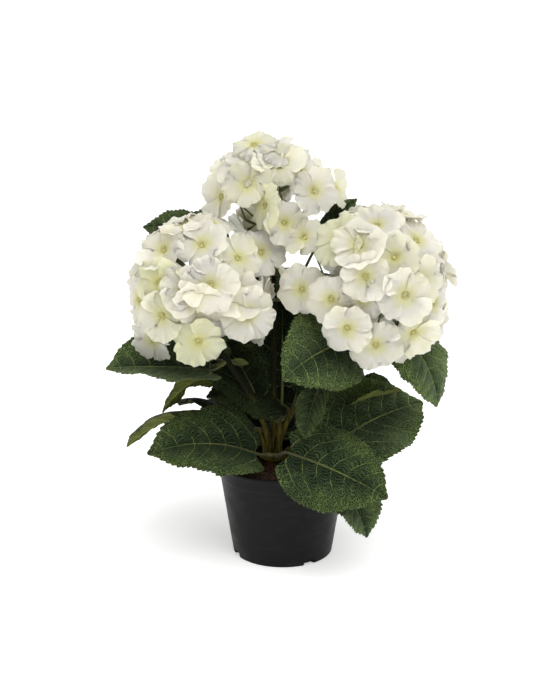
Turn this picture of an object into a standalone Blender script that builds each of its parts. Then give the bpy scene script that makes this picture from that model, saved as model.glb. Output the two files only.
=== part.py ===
"""A potted hydrangea shrub of the artificial kind: cloth flower heads and leaves on wired stems.

The origin is the centre of the pot's flat underside, +Z is up and -Y is the front. Sizes are in metres and
angles in degrees. A bearing is counted from +X towards +Y, seen from above.

The pot holds a filling, and a short trunk stands on that. The trunk carries a collar, and every stem stands on
the collar's flat top. Three flowering stems each have a bough, then a whorl of leaves, then a flower head. Five
low sprays of leaves stand round them. Each spray, whorl and head is one closed body that branches from one stem.
"""

import math
import random
from collections import namedtuple

import bmesh
import bpy
import numpy as np
from mathutils.bvhtree import BVHTree

MM = 0.001
GAP = 0.3 * MM                    # clearance between neighbouring solids

# Pot, turned about the Z axis
POT_HEIGHT = 90 * MM
POT_BASE_RADIUS = 46.0 * MM
POT_LIP_RADIUS = 61.5 * MM
POT_BAND_HEIGHT = 15 * MM         # plain band under the lip
POT_BAND_STEP = 0.8 * MM          # how far the band stands out of the wall
POT_WALL = 1.6 * MM
POT_FLOOR = 5.5 * MM
POT_SEGMENTS = 56
NOTCH_BEARINGS = (-58.0, 30.0, 118.0, -157.0)
NOTCH_WIDTH = 10.5 * MM
NOTCH_DEPTH = 4.2 * MM
NOTCH_HEIGHT = 4.0 * MM

# Filling, trunk and collar
SOIL_LEVEL = 83 * MM
SOIL_SAG = 3 * MM                 # how far the filling falls away at the wall
TRUNK_FOOT = (-8.0 * MM, -9.0 * MM)
TRUNK_TOP = (-8.0 * MM, -10.0 * MM)
TRUNK_FLARE_RADIUS = 11.5 * MM
TRUNK_RADIUS = 8.5 * MM
TRUNK_SIDES = 16
COLLAR_BOTTOM = 91.5 * MM
COLLAR_TOP = 97 * MM
COLLAR_RADIUS = 12.6 * MM

# Stems
BOUGH_RING = 4.4 * MM             # distance of a bough's foot from the collar's centre
SPRAY_RING = 10.0 * MM            # distance of a spray's foot from the collar's centre
BOUGH_RADII = (3.1 * MM, 2.5 * MM)
WHORL_RADII = (2.7 * MM, 2.4 * MM)
PEDUNCLE_RADII = (2.3 * MM, 2.0 * MM)
SPRAY_RADII = (2.0 * MM, 1.8 * MM)
PETIOLE_RADII = (1.5 * MM, 1.0 * MM)
BOUGH_SIDES = 10
TWIG_SIDES = 5
WHORL_START = 0.66                # where along a flowering stem its whorl begins and ends
WHORL_END = 0.76

# Leaves
LEAF_WIDTH = 0.74                 # greatest width as a share of the length
LEAF_THICKNESS = 1.2 * MM
LEAF_SHOULDER = 0.55              # powers of the outline: how full the base is, how drawn out the tip
LEAF_TAPER = 0.85
LEAF_STATIONS = (0.02, 0.11, 0.29, 0.5, 0.71, 0.88, 0.985)
LEAF_COLUMNS = 3
PETIOLE_SUNK = 0.1                # share of the blade that its stalk runs into

# Flower heads
FLORET_PETALS = 4
FLORET_RADIUS = (22.5 * MM, 25.5 * MM)
FLORET_THICKNESS = 1.0 * MM
FLORET_NOTCH = 0.58               # radius of the cleft between two petals, as a share of the floret's
FLORET_CORNER = 31.0              # half the angle that a petal's outer edge spans
FLORET_WRAP = 0.9                 # how closely the petals follow the roundness of their head
FLORET_THROAT = 3.0 * MM
FLORET_SPACING = 32 * MM          # least distance between the hearts of two florets
FLORET_LAYER = 3.5 * MM           # florets lie in three layers, this far apart
FLORET_TILT = 0.06                # how far a floret's facing may stray
DOME_FLOOR = -0.72                # sine of the lowest floret's elevation
DOME_STEPS = 300
HEAD_MARGIN = 3.0 * MM            # least distance of a floret's heart from the next head's space
HUB_DROP = 0.46                   # hub below the head's centre, as a share of the head's radius
BRANCH_REACH = 0.42               # how far the main branches run from the hub to the dome
BRANCH_COUNT = 6
BRANCH_RADII = (1.7 * MM, 1.4 * MM)
PEDICEL_RADII = (1.2 * MM, 1.0 * MM)
GOLDEN_ANGLE = math.pi * (3 - math.sqrt(5))

# A leaf's stalk leaves its joint along `bearing` and ends `out` and `up` from it, in millimetres. The blade
# starts there along `heading`, climbs at `rise` and turns down by `droop` on its way to the tip. `roll` lifts its
# left half and lowers its right half, and `cup` turns both edges up.
Leaf = namedtuple("Leaf", "bearing out up heading length rise droop roll cup")

# A low spray: its bearing on the collar, its joint in millimetres, and its leaves
Spray = namedtuple("Spray", "name foot_bearing joint leaves")

# A flowering stem: its bearing on the collar, the head's centre and radius in millimetres, how far the stem
# leans at its head, the florets that face the viewer as (bearing, elevation), and the leaves of its whorl
Stem = namedtuple("Stem", "side foot_bearing centre radius lean seed facing leaves")

SPRAYS = (
    Spray("leaves_front_low", 262, (-8, -28, 102), (
        Leaf(167, 18, 6, -165, 101, 26, 42, -34, 0),
        Leaf(-66, 34, -3, -20, 98, 8, 32, 52, -4),
    )),
    Spray("leaves_left_low", 216, (-21, -12, 121), (
        Leaf(116, 50, -4, 176, 112, 13, 60, 12, 0),
        Leaf(118, 30, 6, 130, 90, 28, 72, -6, 0),
    )),
    Spray("leaves_right_low", 335, (10, -14, 106), (
        Leaf(4, 29, 1, 19, 106, 26, 35, 50, 0),
        Leaf(15, 54, 44, 26, 80, 15, 25, 12, 0),
        Leaf(-62, 50, -14, -32, 70, -24, 40, 20, 0),
        Leaf(58, 34, 20, 42, 96, 24, 68, 10, 0),
    )),
    Spray("leaves_middle", 305, (-3, -19, 132), (
        Leaf(-24, 7, 17, -167, 90, 52, 30, -62, 0),
        Leaf(88, 28, 20, 100, 88, 46, 62, 0, 0),
        Leaf(66, 32, 30, 64, 86, 40, 70, 0, 0),
    )),
    Spray("leaves_back_low", 90, (-8, 8, 106), (
        Leaf(158, 24, -2, 152, 98, 16, 74, 14, -8),
        Leaf(88, 22, 2, 92, 104, 14, 78, 0, -8),
        Leaf(20, 32, -2, 30, 98, 16, 76, -14, -8),
    )),
)

STEMS = (
    Stem("left", 190, (-70, -20, 253), 64, 26, 20,
         ((-46, -12), (-86, 0), (-89, -33), (-78, 30), (-124, 14), (-122, -16)), (
             Leaf(77, 32, -16, -157, 84, 5, 60, 30, 0),
             Leaf(-160, 15, -5, -178, 94, 11, 20, -14, 15),
             Leaf(128, 26, -2, 134, 94, 24, 62, 0, 0),
         )),
    Stem("right", -10, (73, -22, 258), 72, 26, 55,
         ((-112, 29), (-88, 15), (-123, -6), (-105, -15), (-86, -13), (-64, 22)), (
             Leaf(-59, 17, 19, -129, 96, 13, 40, -22, 0),
             Leaf(-139, 29, -18, -113, 48, -44, 40, 0, 0),
             Leaf(12, 49, 27, -38, 84, -25, 50, 10, 0),
             Leaf(62, 30, -2, 48, 94, 22, 62, 0, 0),
         )),
    Stem("top", 90, (-8, 42, 316), 64, 4, 3,
         ((-87, 62), (-119, 32), (-52, 22), (-102, 10), (-155, 5), (2, 21)), (
             Leaf(161, 53, 45, 174, 73, 29, 35, -35, 0),
             Leaf(-113, 15, 31, -132, 47, 60, 10, 0, 0),
             Leaf(0, 23, 33, 9, 75, 56, 15, 20, 0),
             Leaf(70, 20, 6, 74, 92, 34, 84, 0, 0),
             Leaf(128, 22, 4, 126, 90, 30, 84, 0, 0),
         )),
)

POT_BLACK = (0.035, 0.037, 0.038)
SOIL_BROWN = (0.14, 0.07, 0.045)
BARK_BROWN = (0.17, 0.085, 0.05)
STEM_OLIVE = (0.36, 0.31, 0.13)
LEAF_GREEN = (0.06, 0.12, 0.05)
PETAL_WHITE = (0.86, 0.85, 0.78)


def clear_scene():
    """Remove every object that is in the scene."""
    for scene_object in list(bpy.data.objects):
        bpy.data.objects.remove(scene_object, do_unlink=True)


def make_material(name, colour, roughness):
    """A Principled material of one colour."""
    material = bpy.data.materials.new(name)
    material.use_nodes = True
    shader = material.node_tree.nodes["Principled BSDF"]
    shader.inputs["Base Color"].default_value = (*colour, 1.0)
    shader.inputs["Roughness"].default_value = roughness
    shader.inputs["Metallic"].default_value = 0.0
    return material


def mesh_object(name, vertices, faces, material=None):
    """A new object of the given corners and faces, in world coordinates."""
    mesh = bpy.data.meshes.new(name)
    mesh.from_pydata([tuple(map(float, corner)) for corner in vertices], [], faces)
    mesh.update()
    if material is not None:
        mesh.materials.append(material)
    made = bpy.data.objects.new(name, mesh)
    bpy.context.scene.collection.objects.link(made)
    return made


def shade_round(target, crease=40.0):
    """Shade an object smooth, apart from the edges that turn by more than the crease angle."""
    target.data.shade_smooth()
    target.data.set_sharp_from_angle(angle=math.radians(crease))


def apply_modifiers(target):
    """Replace an object's mesh by the result of its modifiers."""
    depsgraph = bpy.context.evaluated_depsgraph_get()
    depsgraph.update()
    finished = bpy.data.meshes.new_from_object(target.evaluated_get(depsgraph))
    target.modifiers.clear()
    target.data = finished


def unit(vector):
    """The vector at length one."""
    vector = np.asarray(vector, dtype=float)
    return vector / np.linalg.norm(vector)


def direction(bearing, elevation=0.0):
    """The unit vector at a bearing and an elevation."""
    turn, climb = math.radians(bearing), math.radians(elevation)
    return np.array([math.cos(climb) * math.cos(turn), math.cos(climb) * math.sin(turn), math.sin(climb)])


def bezier(points, steps):
    """Points along a cubic curve with the four given control points."""
    start, first, second, end = (np.asarray(point, dtype=float) for point in points)
    t = np.linspace(0.0, 1.0, steps)[:, None]
    return (1 - t)**3 * start + 3 * (1 - t)**2 * t * first + 3 * (1 - t) * t**2 * second + t**3 * end


def part_of(path, start, end, steps):
    """The stretch of a path between two shares of its length, as evenly spaced points."""
    lengths = np.concatenate([[0.0], np.cumsum(np.linalg.norm(np.diff(path, axis=0), axis=1))])
    wanted = np.linspace(start, end, steps) * lengths[-1]
    return np.stack([np.interp(wanted, lengths, path[:, axis]) for axis in range(3)], axis=1)


def tube(path, radii, sides):
    """Corners and faces of a closed, tapering tube along a path, its sides turned as little as can be."""
    path = np.asarray(path, dtype=float)
    tangents = np.gradient(path, axis=0)
    across = np.cross(tangents[0], (0.3, 1.0, 0.2))
    angles = np.arange(sides) * 2 * math.pi / sides
    widths = np.linspace(radii[0], radii[1], len(path))
    corners = []
    for point, tangent, width in zip(path, tangents, widths):
        tangent = unit(tangent)
        across = unit(across - tangent * np.dot(across, tangent))
        beside = np.cross(tangent, across)
        ring = np.outer(np.cos(angles), across) + np.outer(np.sin(angles), beside)
        corners.extend(point + width * ring)
    faces = [tuple(reversed(range(sides)))]
    for row in range(len(path) - 1):
        for side in range(sides):
            low, high = row * sides, (row + 1) * sides
            nearby = (side + 1) % sides
            faces.append((low + side, low + nearby, high + nearby, high + side))
    faces.append(tuple(range((len(path) - 1) * sides, len(path) * sides)))
    return np.array(corners), faces


def lathe(name, profile, centre, segments, material):
    """A closed outline of (radius, height) points, spun about the upright axis through a centre."""
    mesh = bmesh.new()
    corners = [mesh.verts.new((radius, 0.0, height)) for radius, height in profile]
    edges = [mesh.edges.new(pair) for pair in zip(corners[:-1], corners[1:])]
    bmesh.ops.spin(mesh, geom=corners + edges, cent=(0, 0, 0), axis=(0, 0, 1),
                   angle=2 * math.pi, steps=segments, use_merge=True)
    bmesh.ops.remove_doubles(mesh, verts=mesh.verts, dist=0.001 * MM)
    bmesh.ops.translate(mesh, verts=mesh.verts, vec=(centre[0], centre[1], 0.0))
    bmesh.ops.recalc_face_normals(mesh, faces=mesh.faces)
    data = bpy.data.meshes.new(name)
    mesh.to_mesh(data)
    mesh.free()
    data.materials.append(material)
    made = bpy.data.objects.new(name, data)
    bpy.context.scene.collection.objects.link(made)
    shade_round(made)
    return made


def pot_wall_radius(height):
    """Radius of the pot's outer wall, which widens evenly from its foot to its lip."""
    top_radius = POT_LIP_RADIUS - 2 * POT_BAND_STEP
    return POT_BASE_RADIUS + (top_radius - POT_BASE_RADIUS) * height / POT_HEIGHT


def make_pot(material):
    """The pot: a tapered wall with a plain band and a rounded lip, and notches under its foot."""
    band = POT_HEIGHT - POT_BAND_HEIGHT
    bevel = 1.0 * MM
    profile = [
        (0.0, 0.0),
        (POT_BASE_RADIUS - bevel, 0.0),
        (POT_BASE_RADIUS, bevel),
        (pot_wall_radius(band / 2), band / 2),
        (pot_wall_radius(band), band),
        (pot_wall_radius(band + bevel) + POT_BAND_STEP, band + bevel),
        (POT_LIP_RADIUS - bevel, POT_HEIGHT - 2 * bevel),
        (POT_LIP_RADIUS, POT_HEIGHT - bevel),
        (POT_LIP_RADIUS - bevel / 2, POT_HEIGHT),
        (POT_LIP_RADIUS - 2 * POT_WALL + bevel, POT_HEIGHT),
        (POT_LIP_RADIUS - 2 * POT_WALL, POT_HEIGHT - bevel),
        (pot_wall_radius(band) - POT_WALL, band),
        (pot_wall_radius(POT_FLOOR) - POT_WALL, POT_FLOOR),
        (0.0, POT_FLOOR),
    ]
    pot = lathe("pot", profile, (0.0, 0.0), POT_SEGMENTS, material)
    for number, bearing in enumerate(NOTCH_BEARINGS):
        centre = direction(bearing) * POT_BASE_RADIUS
        bpy.ops.mesh.primitive_cube_add(size=1.0, location=tuple(centre))
        cutter = bpy.context.object
        cutter.name = f"notch_cutter_{number + 1}"
        cutter.scale = (2 * NOTCH_DEPTH, NOTCH_WIDTH, 2 * NOTCH_HEIGHT)
        cutter.rotation_euler = (0.0, 0.0, math.radians(bearing))
        cutter.hide_render = True
        cutter.display_type = "WIRE"
        cut = pot.modifiers.new(f"notch_{number + 1}", "BOOLEAN")
        cut.operation = "DIFFERENCE"
        cut.object = cutter
    return pot


def make_soil(material):
    """The filling: a plug inside the pot, flat under the trunk and sunk a little at the wall."""
    inner = GAP + POT_WALL
    edge = SOIL_LEVEL - SOIL_SAG
    bottom = POT_FLOOR + GAP
    profile = [
        (0.0, bottom),
        (pot_wall_radius(bottom) - inner, bottom),
        (pot_wall_radius(POT_HEIGHT - POT_BAND_HEIGHT) - inner, POT_HEIGHT - POT_BAND_HEIGHT),
        (pot_wall_radius(POT_HEIGHT - POT_BAND_HEIGHT) - inner, edge),
        (POT_BASE_RADIUS, SOIL_LEVEL - 0.35 * SOIL_SAG),
        (POT_BASE_RADIUS * 0.62, SOIL_LEVEL),
        (0.0, SOIL_LEVEL),
    ]
    return lathe("soil", profile, (0.0, 0.0), POT_SEGMENTS, material)


def make_trunk(material):
    """The trunk: from its flat cut on the filling, through its root flare, to the collar."""
    bottom = SOIL_LEVEL + GAP
    top = COLLAR_BOTTOM - GAP
    heights = np.linspace(0.0, 1.0, 6)
    lean = np.array(TRUNK_TOP) - np.array(TRUNK_FOOT)
    path = [(*(np.array(TRUNK_FOOT) + lean * share), bottom + (top - bottom) * share) for share in heights]
    corners, faces = tube(path, (1.0, 1.0), TRUNK_SIDES)
    middles = np.repeat(np.array(path), TRUNK_SIDES, axis=0)
    flare = TRUNK_RADIUS + (TRUNK_FLARE_RADIUS - TRUNK_RADIUS) * (1 - np.repeat(heights, TRUNK_SIDES))**3
    corners = middles + (corners - middles) * flare[:, None]
    corners[:, 2] = middles[:, 2]
    trunk = mesh_object("trunk", corners, faces, material)
    shade_round(trunk)
    return trunk


def make_collar(material):
    """The collar: a round knob with a flat top, which every stem stands on."""
    profile = [
        (0.0, COLLAR_BOTTOM),
        (TRUNK_RADIUS, COLLAR_BOTTOM),
        (COLLAR_RADIUS, COLLAR_BOTTOM + 0.45 * (COLLAR_TOP - COLLAR_BOTTOM)),
        (COLLAR_RADIUS, COLLAR_TOP - 0.8 * MM),
        (COLLAR_RADIUS - 0.5 * MM, COLLAR_TOP),
        (0.0, COLLAR_TOP),
    ]
    return lathe("collar", profile, TRUNK_TOP, 24, material)


def collar_point(bearing, ring):
    """A point just above the collar's top, at a bearing and a distance from its centre."""
    return np.array([*TRUNK_TOP, COLLAR_TOP + GAP]) + direction(bearing) * ring


def standing_tube(path, radii, sides):
    """A tube whose first end is cut level, to stand on the collar."""
    corners, faces = tube(path, radii, sides)
    corners[:sides, 2] = COLLAR_TOP + GAP
    return corners, faces


def leaf_frame(leaf, base, steps):
    """A leaf's midrib, and its sideways and upward directions, at the given shares of its length.

    The midrib's slope falls evenly from `rise` to `rise - droop`, so each point is the base plus the running sum
    of the direction along it. The sideways direction is level at first and then turned by `roll`.
    """
    fine = np.linspace(0.0, 1.0, 61)
    slope = np.radians(leaf.rise - leaf.droop * fine)
    ahead = direction(leaf.heading)
    along = np.outer(np.cos(slope), ahead) + np.outer(np.sin(slope), (0, 0, 1))
    pieces = (along[1:] + along[:-1]) / 2 * leaf.length * MM / (len(fine) - 1)
    line = base + np.concatenate([np.zeros((1, 3)), np.cumsum(pieces, axis=0)])
    steps = np.asarray(steps)
    midrib = np.stack([np.interp(steps, fine, line[:, axis]) for axis in range(3)], axis=1)
    along = np.stack([np.interp(steps, fine, along[:, axis]) for axis in range(3)], axis=1)
    level = np.cross((0, 0, 1), ahead)
    upright = np.cross(along, level)
    roll = math.radians(leaf.roll)
    aside = math.cos(roll) * level + math.sin(roll) * upright
    above = math.cos(roll) * upright - math.sin(roll) * level
    return midrib, aside, above


def leaf_outline(steps):
    """Half the width of a leaf along its length, as a share of its greatest half width."""
    steps = np.asarray(steps)
    widest = LEAF_SHOULDER / (LEAF_SHOULDER + LEAF_TAPER)
    most = widest**LEAF_SHOULDER * (1 - widest)**LEAF_TAPER
    return steps**LEAF_SHOULDER * (1 - steps)**LEAF_TAPER / most


def make_blade(leaf, base):
    """A leaf's blade, as a thin closed object."""
    midrib, aside, above = leaf_frame(leaf, base, LEAF_STATIONS)
    half = leaf_outline(LEAF_STATIONS) * LEAF_WIDTH * leaf.length * MM / 2
    across = np.linspace(-1.0, 1.0, LEAF_COLUMNS)
    bend = math.radians(leaf.cup) * np.abs(across)
    sideways = half[:, None] * across * np.cos(bend)
    upwards = half[:, None] * np.abs(across) * np.sin(bend)
    grid = midrib[:, None] + sideways[..., None] * aside[:, None] + upwards[..., None] * above[:, None]
    faces = []
    for row in range(len(LEAF_STATIONS) - 1):
        for column in range(LEAF_COLUMNS - 1):
            first = row * LEAF_COLUMNS + column
            faces.append((first, first + LEAF_COLUMNS, first + LEAF_COLUMNS + 1, first + 1))
    blade = mesh_object("blade", grid.reshape(-1, 3), faces)
    thicken = blade.modifiers.new("thickness", "SOLIDIFY")
    thicken.thickness = LEAF_THICKNESS
    thicken.offset = 0.0
    apply_modifiers(blade)
    return blade


def make_leaf(leaf, joint, axis):
    """A leaf: its blade, and its stalk from inside the joint to inside the blade.

    The stalk leaves the stem nearly square to the stem's own direction, and meets the blade along the midrib.
    """
    base = joint + direction(leaf.bearing) * leaf.out * MM + np.array([0, 0, leaf.up * MM])
    start = direction(leaf.heading, leaf.rise)
    reach = np.linalg.norm(base - joint)
    outward = unit(base - joint)
    outward = unit(outward - 0.8 * np.dot(outward, axis) * axis)
    stalk = bezier((joint, joint + outward * reach * 0.35, base - start * reach * 0.35, base), 5)
    inside = leaf_frame(leaf, base, (PETIOLE_SUNK,))[0]
    petiole = mesh_object("petiole", *tube(np.vstack([stalk, inside]), PETIOLE_RADII, TWIG_SIDES))
    return [make_blade(leaf, base), petiole]


def tree_of(target):
    """A search tree of an object's faces."""
    polygons = [tuple(polygon.vertices) for polygon in target.data.polygons]
    return BVHTree.FromPolygons([corner.co.copy() for corner in target.data.vertices], polygons)


def touches(target, obstacles):
    """Whether an object cuts or comes too near to anything that stands already."""
    tree = tree_of(target)
    for obstacle in obstacles:
        if tree.overlap(obstacle):
            return True
        if any(obstacle.find_nearest(corner.co, GAP)[0] is not None for corner in target.data.vertices):
            return True
    return False


def keep_outer_shell(target):
    """Fill the hollows that joining has sealed and drop loose scraps: only the largest shell stays."""
    mesh = bmesh.new()
    mesh.from_mesh(target.data)
    unseen = set(mesh.faces)
    shells = []
    while unseen:
        front = [unseen.pop()]
        shell = list(front)
        while front:
            for edge in front.pop().edges:
                for face in edge.link_faces:
                    if face in unseen:
                        unseen.remove(face)
                        shell.append(face)
                        front.append(face)
        shells.append(shell)
    shells.sort(key=len)
    for shell in shells[:-1]:
        bmesh.ops.delete(mesh, geom=shell, context="FACES")
    mesh.to_mesh(target.data)
    mesh.free()


def join_mass(name, stem, members, material):
    """Join a mass's members to its stem in one Boolean union, and remove the members."""
    stem.name = name
    stem.data.name = name
    collection = bpy.data.collections.new(f"{name}_members")
    bpy.context.scene.collection.children.link(collection)
    for member in members:
        bpy.context.scene.collection.objects.unlink(member)
        collection.objects.link(member)
    union = stem.modifiers.new("joined", "BOOLEAN")
    union.operation = "UNION"
    union.operand_type = "COLLECTION"
    union.collection = collection
    union.solver = "EXACT"
    apply_modifiers(stem)
    for member in members:
        bpy.data.objects.remove(member, do_unlink=True)
    bpy.data.collections.remove(collection)
    keep_outer_shell(stem)
    stem.data.materials.clear()
    stem.data.materials.append(material)
    return stem


def grow_leaves(leaves, joint, axis, obstacles):
    """The members of those leaves that touch nothing, all from one joint of a stem that points along `axis`."""
    members = []
    for leaf in leaves:
        pieces = make_leaf(leaf, joint, axis)
        if any(touches(piece, obstacles) for piece in pieces):
            for piece in pieces:
                bpy.data.objects.remove(piece, do_unlink=True)
        else:
            members.extend(pieces)
    return members


def spray_stem(spray):
    """A low spray's stem: upright from the collar's top, then bent over to its joint and a little beyond."""
    foot = collar_point(spray.foot_bearing, SPRAY_RING)
    joint = np.array(spray.joint) * MM
    reach = np.linalg.norm(joint - foot)
    path = bezier((foot, foot + (0, 0, reach * 0.4), joint - unit(joint - foot) * reach * 0.3, joint), 7)
    axis = unit(path[-1] - path[-2])
    return np.vstack([path, joint + axis * SPRAY_RADII[1]]), axis


def make_spray(spray, obstacles, material):
    """A low spray: a stem from the collar, with leaves that branch from its joint."""
    path, axis = spray_stem(spray)
    stem = mesh_object(spray.name, *standing_tube(path, SPRAY_RADII, TWIG_SIDES))
    leaves = grow_leaves(spray.leaves, np.array(spray.joint) * MM, axis, obstacles)
    return join_mass(spray.name, stem, leaves, material)


def head_centre(stem):
    """The centre of a stem's flower head."""
    return np.array(stem.centre) * MM


def head_hub(stem):
    """The point below a flower head's centre that its main branches start from."""
    return head_centre(stem) - np.array([0, 0, HUB_DROP * stem.radius * MM])


def stem_curve(stem):
    """The line of a flowering stem, from the collar to the hub of its flower head."""
    foot = collar_point(stem.foot_bearing, BOUGH_RING)
    hub = head_hub(stem)
    outwards = hub - foot
    outwards[2] = 0.0
    arriving = unit(unit(outwards) * math.tan(math.radians(stem.lean)) + (0, 0, 1))
    reach = np.linalg.norm(hub - foot)
    return bezier((foot, foot + (0, 0, reach * 0.33), hub - arriving * reach * 0.33, hub), 41)


def make_bough(stem, material):
    """A bough: the lower part of a flowering stem, one tapering limb up to its whorl."""
    path = part_of(stem_curve(stem), 0.0, WHORL_START, 12)
    bough = mesh_object(f"bough_{stem.side}", *standing_tube(path, BOUGH_RADII, BOUGH_SIDES), material)
    shade_round(bough)
    return bough


def share_of_gap(stem):
    """The clearance between two solids, as a share of a flowering stem's length."""
    return GAP / np.linalg.norm(np.diff(stem_curve(stem), axis=0), axis=1).sum()


def make_whorl(stem, obstacles, material):
    """A whorl: the stretch of stem above a bough, with the leaves that branch from its middle."""
    path = part_of(stem_curve(stem), WHORL_START + share_of_gap(stem), WHORL_END, 5)
    name = f"leaves_{stem.side}"
    piece = mesh_object(name, *tube(path, WHORL_RADII, BOUGH_SIDES))
    leaves = grow_leaves(stem.leaves, path[2], unit(path[3] - path[1]), obstacles)
    return join_mass(name, piece, leaves, material)


def dome_directions(stem):
    """Directions of a head's florets from its centre.

    Those that face the viewer come first. The rest follow a golden-angle spiral from the crown down to the
    skirt, and one is left out where it would crowd a floret that is there already.
    """
    found = [direction(bearing, elevation) for bearing, elevation in stem.facing]
    nearest = math.cos(FLORET_SPACING / (stem.radius * MM))
    for step in range(DOME_STEPS):
        height = 1.0 - (1.0 - DOME_FLOOR) * (step + 0.5) / DOME_STEPS
        turn = stem.seed + step * GOLDEN_ANGLE
        level = math.sqrt(1.0 - height * height)
        candidate = np.array([level * math.cos(turn), level * math.sin(turn), height])
        if max(np.dot(candidate, other) for other in found) < nearest:
            found.append(candidate)
    return found


def dome_layers(places):
    """A layer (-1, 0 or 1) for each floret: the one in which the nearest floret so far is the farthest away."""
    layers = []
    for place in places:
        nearest = {-1: -1.0, 0: -1.0, 1: -1.0}
        for other, layer in zip(places, layers):
            nearest[layer] = max(nearest[layer], float(np.dot(place, other)))
        layers.append(min(nearest, key=nearest.get))
    return layers


def floret_mesh(heart, facing, spin, radius, roundness):
    """Corners and faces of one floret: four blunt petals round a throat, bent back with the roundness of the head.

    Each petal gives three outline points: the cleft before it and its two outer corners. The same outline stands
    a petal's thickness lower for the back, and the back's middle is the throat.
    """
    across = unit(np.cross(facing, (0.2, 0.3, 1.0)))
    beside = np.cross(facing, across)
    turns, reaches = [], []
    for petal in range(FLORET_PETALS):
        middle = petal * 360.0 / FLORET_PETALS + spin
        turns.extend([middle - 180.0 / FLORET_PETALS, middle - FLORET_CORNER, middle + FLORET_CORNER])
        reaches.extend([FLORET_NOTCH, 1.0, 1.0])
    turns, reaches = np.radians(turns), np.array(reaches)
    flat = np.outer(np.cos(turns), across) + np.outer(np.sin(turns), beside)
    sag = FLORET_WRAP * (reaches * radius)**2 / (2 * roundness)
    front = heart + flat * (reaches * radius)[:, None] - np.outer(sag, facing)
    back = front - facing * FLORET_THICKNESS
    count = len(turns)
    corners = np.vstack([front, back, heart, heart - facing * FLORET_THROAT])
    faces = []
    for first in range(count):
        second = (first + 1) % count
        faces.append((2 * count, first, second))
        faces.append((2 * count + 1, count + second, count + first))
        faces.append((first, count + first, count + second, second))
    return corners, faces


def within_space(heart, stem):
    """Whether a floret's heart is on its own head's side of the planes that part it from the other heads."""
    centre = head_centre(stem)
    for other in STEMS:
        if other is stem:
            continue
        apart = head_centre(other) - centre
        distance = np.linalg.norm(apart)
        border = (distance**2 + (stem.radius * MM)**2 - (other.radius * MM)**2) / (2 * distance)
        if np.dot(heart - centre, apart / distance) > border - HEAD_MARGIN:
            return False
    return True


def head_branches(stem):
    """The ends of a head's main branches: one straight up and the others in a ring round it."""
    ends = [direction(0, 90)]
    for number in range(BRANCH_COUNT):
        ends.append(direction(stem.seed + number * 360.0 / BRANCH_COUNT, 12))
    centre, hub = head_centre(stem), head_hub(stem)
    dome = [centre + end * stem.radius * MM for end in ends]
    return [hub + (point - hub) * BRANCH_REACH for point in dome]


def make_head(stem, obstacles, material):
    """A flower head: a stem up to its hub, main branches, and a stalked floret at each place on the dome."""
    rng = random.Random(stem.seed)
    centre, hub = head_centre(stem), head_hub(stem)
    ends, members = [], []
    for end in head_branches(stem):
        branch = mesh_object("branch", *tube(np.linspace(hub, end, 2), BRANCH_RADII, TWIG_SIDES))
        if touches(branch, obstacles):
            bpy.data.objects.remove(branch, do_unlink=True)
        else:
            ends.append(end)
            members.append(branch)
    places = dome_directions(stem)
    for outward, layer in zip(places, dome_layers(places)):
        radius = rng.uniform(*FLORET_RADIUS)
        spin = rng.uniform(0.0, 90.0)
        tilt = np.array([rng.uniform(-FLORET_TILT, FLORET_TILT) for axis in range(3)])
        heart = centre + outward * (stem.radius * MM + layer * FLORET_LAYER)
        facing = unit(outward + tilt)
        if not within_space(heart, stem):
            continue
        floret = mesh_object("floret", *floret_mesh(heart, facing, spin, radius, stem.radius * MM))
        origin = min(ends, key=lambda end: np.linalg.norm(end - heart))
        root = heart - facing * FLORET_THROAT * 0.6
        bend = root - facing * np.linalg.norm(root - origin) * 0.4
        stalk = mesh_object("pedicel", *tube(bezier((origin, origin, bend, root), 3), PEDICEL_RADII, 3))
        if touches(floret, obstacles) or touches(stalk, obstacles):
            bpy.data.objects.remove(floret, do_unlink=True)
            bpy.data.objects.remove(stalk, do_unlink=True)
        else:
            members.extend([floret, stalk])
    start = WHORL_END + share_of_gap(stem)
    path = np.vstack([part_of(stem_curve(stem), start, 1.0, 5), hub + (0, 0, PEDUNCLE_RADII[1])])
    name = f"flower_head_{stem.side}"
    peduncle = mesh_object(name, *tube(path, PEDUNCLE_RADII, TWIG_SIDES))
    return join_mass(name, peduncle, members, material)


def main():
    clear_scene()
    plastic = make_material("pot_black", POT_BLACK, 0.5)
    soil_brown = make_material("soil_brown", SOIL_BROWN, 0.95)
    bark = make_material("bark_brown", BARK_BROWN, 0.9)
    olive = make_material("stem_olive", STEM_OLIVE, 0.7)
    green = make_material("leaf_green", LEAF_GREEN, 0.6)
    white = make_material("petal_white", PETAL_WHITE, 0.8)

    pot = make_pot(plastic)
    solids = [make_soil(soil_brown), make_trunk(bark), make_collar(olive)]
    solids.extend(make_bough(stem, olive) for stem in STEMS)
    obstacles = [tree_of(pot)] + [tree_of(solid) for solid in solids]
    for spray in SPRAYS:
        obstacles.append(tree_of(make_spray(spray, obstacles, green)))
    for stem in STEMS:
        obstacles.append(tree_of(make_whorl(stem, obstacles, green)))
    for stem in STEMS:
        obstacles.append(tree_of(make_head(stem, obstacles, white)))


main()
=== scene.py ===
"""Looks of a potted hydrangea shrub of the artificial kind: cloth petals and leaves on wired, sleeved stems.

Sizes are in metres and angles in degrees unless a name says otherwise. The origin is the centre of the pot's
underside, +Z is up and -Y is the front. A bearing is counted from +X towards +Y, seen from above.
"""

import math
from collections import namedtuple

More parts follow.
